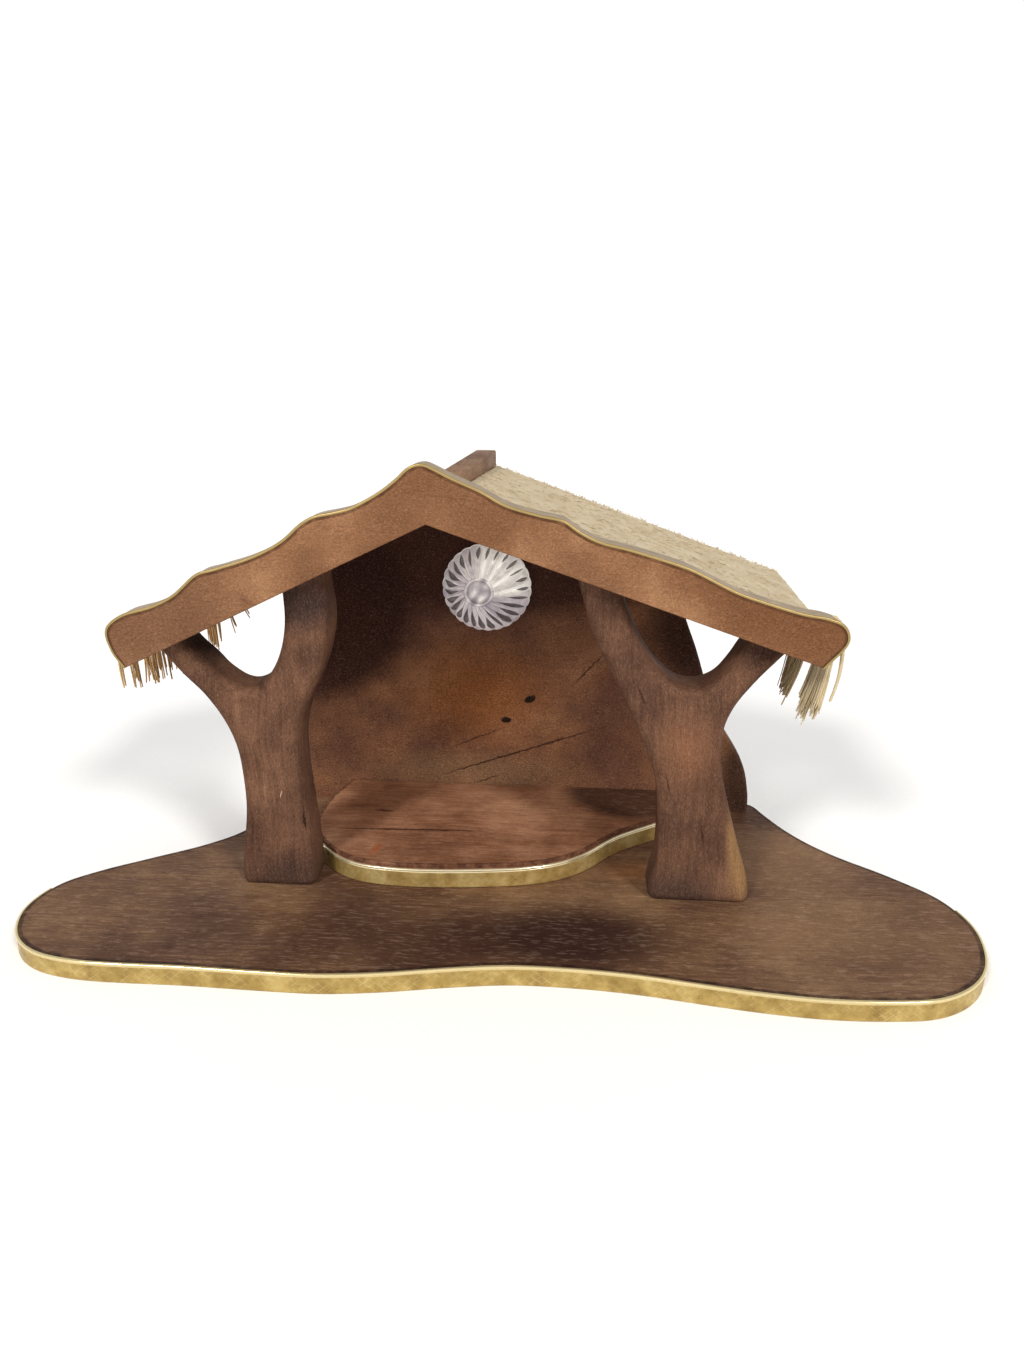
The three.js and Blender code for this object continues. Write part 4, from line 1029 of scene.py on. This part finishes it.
def rosette_piece():
    """The pressed glass dome. Over angle a and share t from the rim to the boss, the dome's rise follows a
    quarter ellipse, and each flute's arch, a power of |cos|, cuts the grooves between the ribs. The ribs turn
    a little as they climb, and the rings lean to one side."""
    low, high = box_mm("star_rosette")
    middle = (low + high) / 2
    radius, rise = (high[0] - low[0]) / 2, high[1] - low[1]
    a = np.linspace(0, 2 * math.pi, FLUTES * 24, endpoint=False)
    t = np.concatenate([np.linspace(0, 0.06, 5), np.linspace(0.08, 1, 46)])[:, None]
    reach = radius - (radius - BOSS_RADIUS - 0.6) * t
    out = (reach - BOSS_RADIUS) / (radius * 1.02 - BOSS_RADIUS)
    dome = 0.96 * rise * np.sqrt(np.clip(1 - out**2, 0, 1)) ** 0.85
    wave = np.abs(np.cos(FLUTES * (a[None] + 0.35 * (t - 0.5) ** 2 + 0.16 * t) / 2)) ** 0.8
    groove = (1 - wave) * (0.3 + 0.7 * np.sin(math.pi * t) ** 0.7)
    r = reach - groove * 2.4 * (1 - t * 0.5)
    y = 1.2 + dome - groove * 2.2
    clear, tone = rosette_looks(a[None], t, wave)
    step, height, boss_clear, boss_tone = (BOSS_RINGS[:, k:k + 1] + 0 * a for k in range(4))
    boss_r = BOSS_RADIUS + step
    ring_r = np.vstack([radius * 0.94 + 0 * a, r, boss_r])
    ring_y = np.vstack([0 * a, y, height * rise])
    lean = np.concatenate([[0], eased(t[:, 0], 0, 1), np.ones(len(step))])[:, None]
    points = np.stack([middle[0] + ring_r * np.cos(a) + BOSS_LEAN * lean, high[1] - ring_y,
                       middle[2] + ring_r * np.sin(a)], -1).reshape(-1, 3)
    faces = outward(points, closed_tube(*ring_r.shape))
    piece = new_piece("rosette_glass", points, faces, glass, ["star_rosette"], bend=60)
    patchy = 0.25 * soft_noise(boss_r * np.cos(a), boss_r * np.sin(a), 7, 9)
    point_values(piece.data, "clear", np.vstack([1 + 0 * a, clear, boss_clear]))
    point_values(piece.data, "tone", np.vstack([0.5 + 0 * a, tone, boss_tone + patchy]))
    return piece


# Putting it together

def dress(word, material):
    """Gives its finish to each CAD node whose name holds the word."""
    for node in [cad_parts[name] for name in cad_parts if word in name]:
        if not node.material_slots:
            node.data.materials.append(None)
        for place in node.material_slots:
            place.link = "OBJECT"
            place.material = material


for post in ("left_post", "right_post"):
    standing_rounded(post, POST_CUT, POST_ROUND, post_wood, foot=BASE_TOP)
standing_rounded("back_wall", WALL_CUT, WALL_ROUND, wall_wood)

low, high = box_mm("fascia_board")
fascia = 1, low[1] + BELOW_FACE, standing_back(high[1]), high[1] - low[1]
board_piece("fascia_board", *fascia, fascia_wood, "light_board", FASCIA_SHADE_RIM)
low, high = box_mm("platform_board")
platform_level = high[2] - BELOW_FACE
board_piece("platform_board", 2, platform_level, lying(low[2]), high[2] - low[2], platform_wood, "red_board",
            PLATFORM_SHADE_RIM)
base_piece()
pole_piece()

low, high = box_mm("base_edge_trim")
band = arc_lengths(edging_section(high[2] - low[2]))[BAND_START + BAND_POINTS - 1]
# One edging in three copies: the platform's is painted lighter and the fascia's darker and duller, as painted
# light and shade.
gold = gold_edging("gold_foil_edging", band, ("917740", "ae9456", "c6ae70"), "e2cf9c")
bright = gold_edging("gold_foil_edging_painted_light", band, ("a6884d", "c8ab68", "e0cb8c"), "f2e4be")
pale = gold_edging("gold_foil_edging_painted_shade", band, ("836b4a", "99805b", "ae946b"), "a08858", 0.38)
edging_piece("base_edging", "base_board", 2, BASE_CUT, lying(low[2]), high[2] - low[2], gold)
low, high = box_mm("platform_edge_trim")
edging_piece("platform_edging", "platform_board", 2, platform_level, lying(low[2]), high[2] - low[2], bright)
edging_piece("fascia_edging", "fascia_board", *fascia, pale)
rosette_piece()

EAVES = [("left", LEFT_BUNDLES, left_fibre, (0.6, 0.95), None),
         ("right", RIGHT_BUNDLES, right_fibre, (0.42, 0.72), LOOSE_STRAND)]
for side, bundles, fibre, widths, single in EAVES:
    mat, cut_size = mat_piece(side)
    fibres = mat_fibres(side)
    fringe = fringe_piece(side, bundles, fibre, widths, single)

for word, finish in (("_roof_board", plain_wood), ("screw", steel), ("nail", steel), ("washer", steel),
                     ("dowel", dowel_wood)):
    dress(word, finish)


# Studio

SENSOR = 36
FOCAL_PIXELS, PHOTO_PIXELS = 1025, 1365


def camera_at_the_photograph():
    """A pinhole camera with the place, turn and focal length that were fitted to the outlines in the
    photograph, which is PHOTO_PIXELS tall."""
    lens = bpy.data.cameras.new("camera")
    lens.sensor_fit = "AUTO"
    lens.sensor_width = SENSOR
    lens.lens = SENSOR * FOCAL_PIXELS / PHOTO_PIXELS
    lens.clip_start = 0.01
    lens.clip_end = 50
    camera = bpy.data.objects.new("camera", lens)
    bpy.context.scene.collection.objects.link(camera)
    right = (0.99770835, 0.06733549, 0.00663216)
    up = (-0.02780655, 0.31869056, 0.94745085)
    back = (0.06168346, -0.94546404, 0.3198326)
    turned = Matrix((right, up, back)).transposed().to_4x4()
    camera.matrix_world = Matrix.Translation((0.0435, -0.5734, 0.334)) @ turned
    bpy.context.scene.camera = camera


def soft_sun(name, toward, power, spread, colour):
    """A broad even light that comes from the direction of toward."""
    lamp = bpy.data.lights.new(name, "SUN")
    lamp.energy = power
    lamp.angle = math.radians(spread)
    lamp.color = linear(colour)[:3]
    made = bpy.data.objects.new(name, lamp)
    bpy.context.scene.collection.objects.link(made)
    made.location = toward
    made.rotation_mode = "QUATERNION"
    made.rotation_quaternion = (-Vector(toward)).to_track_quat("-Z", "Y")


def studio():
    """A large pale floor, a surround that is white low down and dimmer overhead, and two soft lights
    from above the front."""
    half = 30.0
    mesh = bpy.data.meshes.new("floor")
    corners = [(-half, -half, 0), (half, -half, 0), (half, half, 0), (-half, half, 0)]
    mesh.from_pydata(corners, [], [(0, 1, 2, 3)])
    mesh.materials.append(studio_floor())
    floor = bpy.data.objects.new("floor", mesh)
    bpy.context.scene.collection.objects.link(floor)
    world = bpy.data.worlds.new("surround")
    world.use_nodes = True
    put = partial(add_node, world.node_tree)
    height = put("SeparateXYZ", put("TexCoord"), out=2)
    background = world.node_tree.nodes["Background"]
    feed(world.node_tree, background.inputs, ["ffffff", put("MapRange", height, 0.28, 0.6, 1.05, 0.42)])
    bpy.context.scene.world = world
    soft_sun("left_light", (-0.42, -0.72, 0.62), 1.65, 11, "fffcf7")
    soft_sun("right_light", (0.5, -0.66, 0.6), 1.65, 11, "fffcf7")
    bpy.context.scene.view_settings.view_transform = "Standard"


camera_at_the_photograph()
studio()
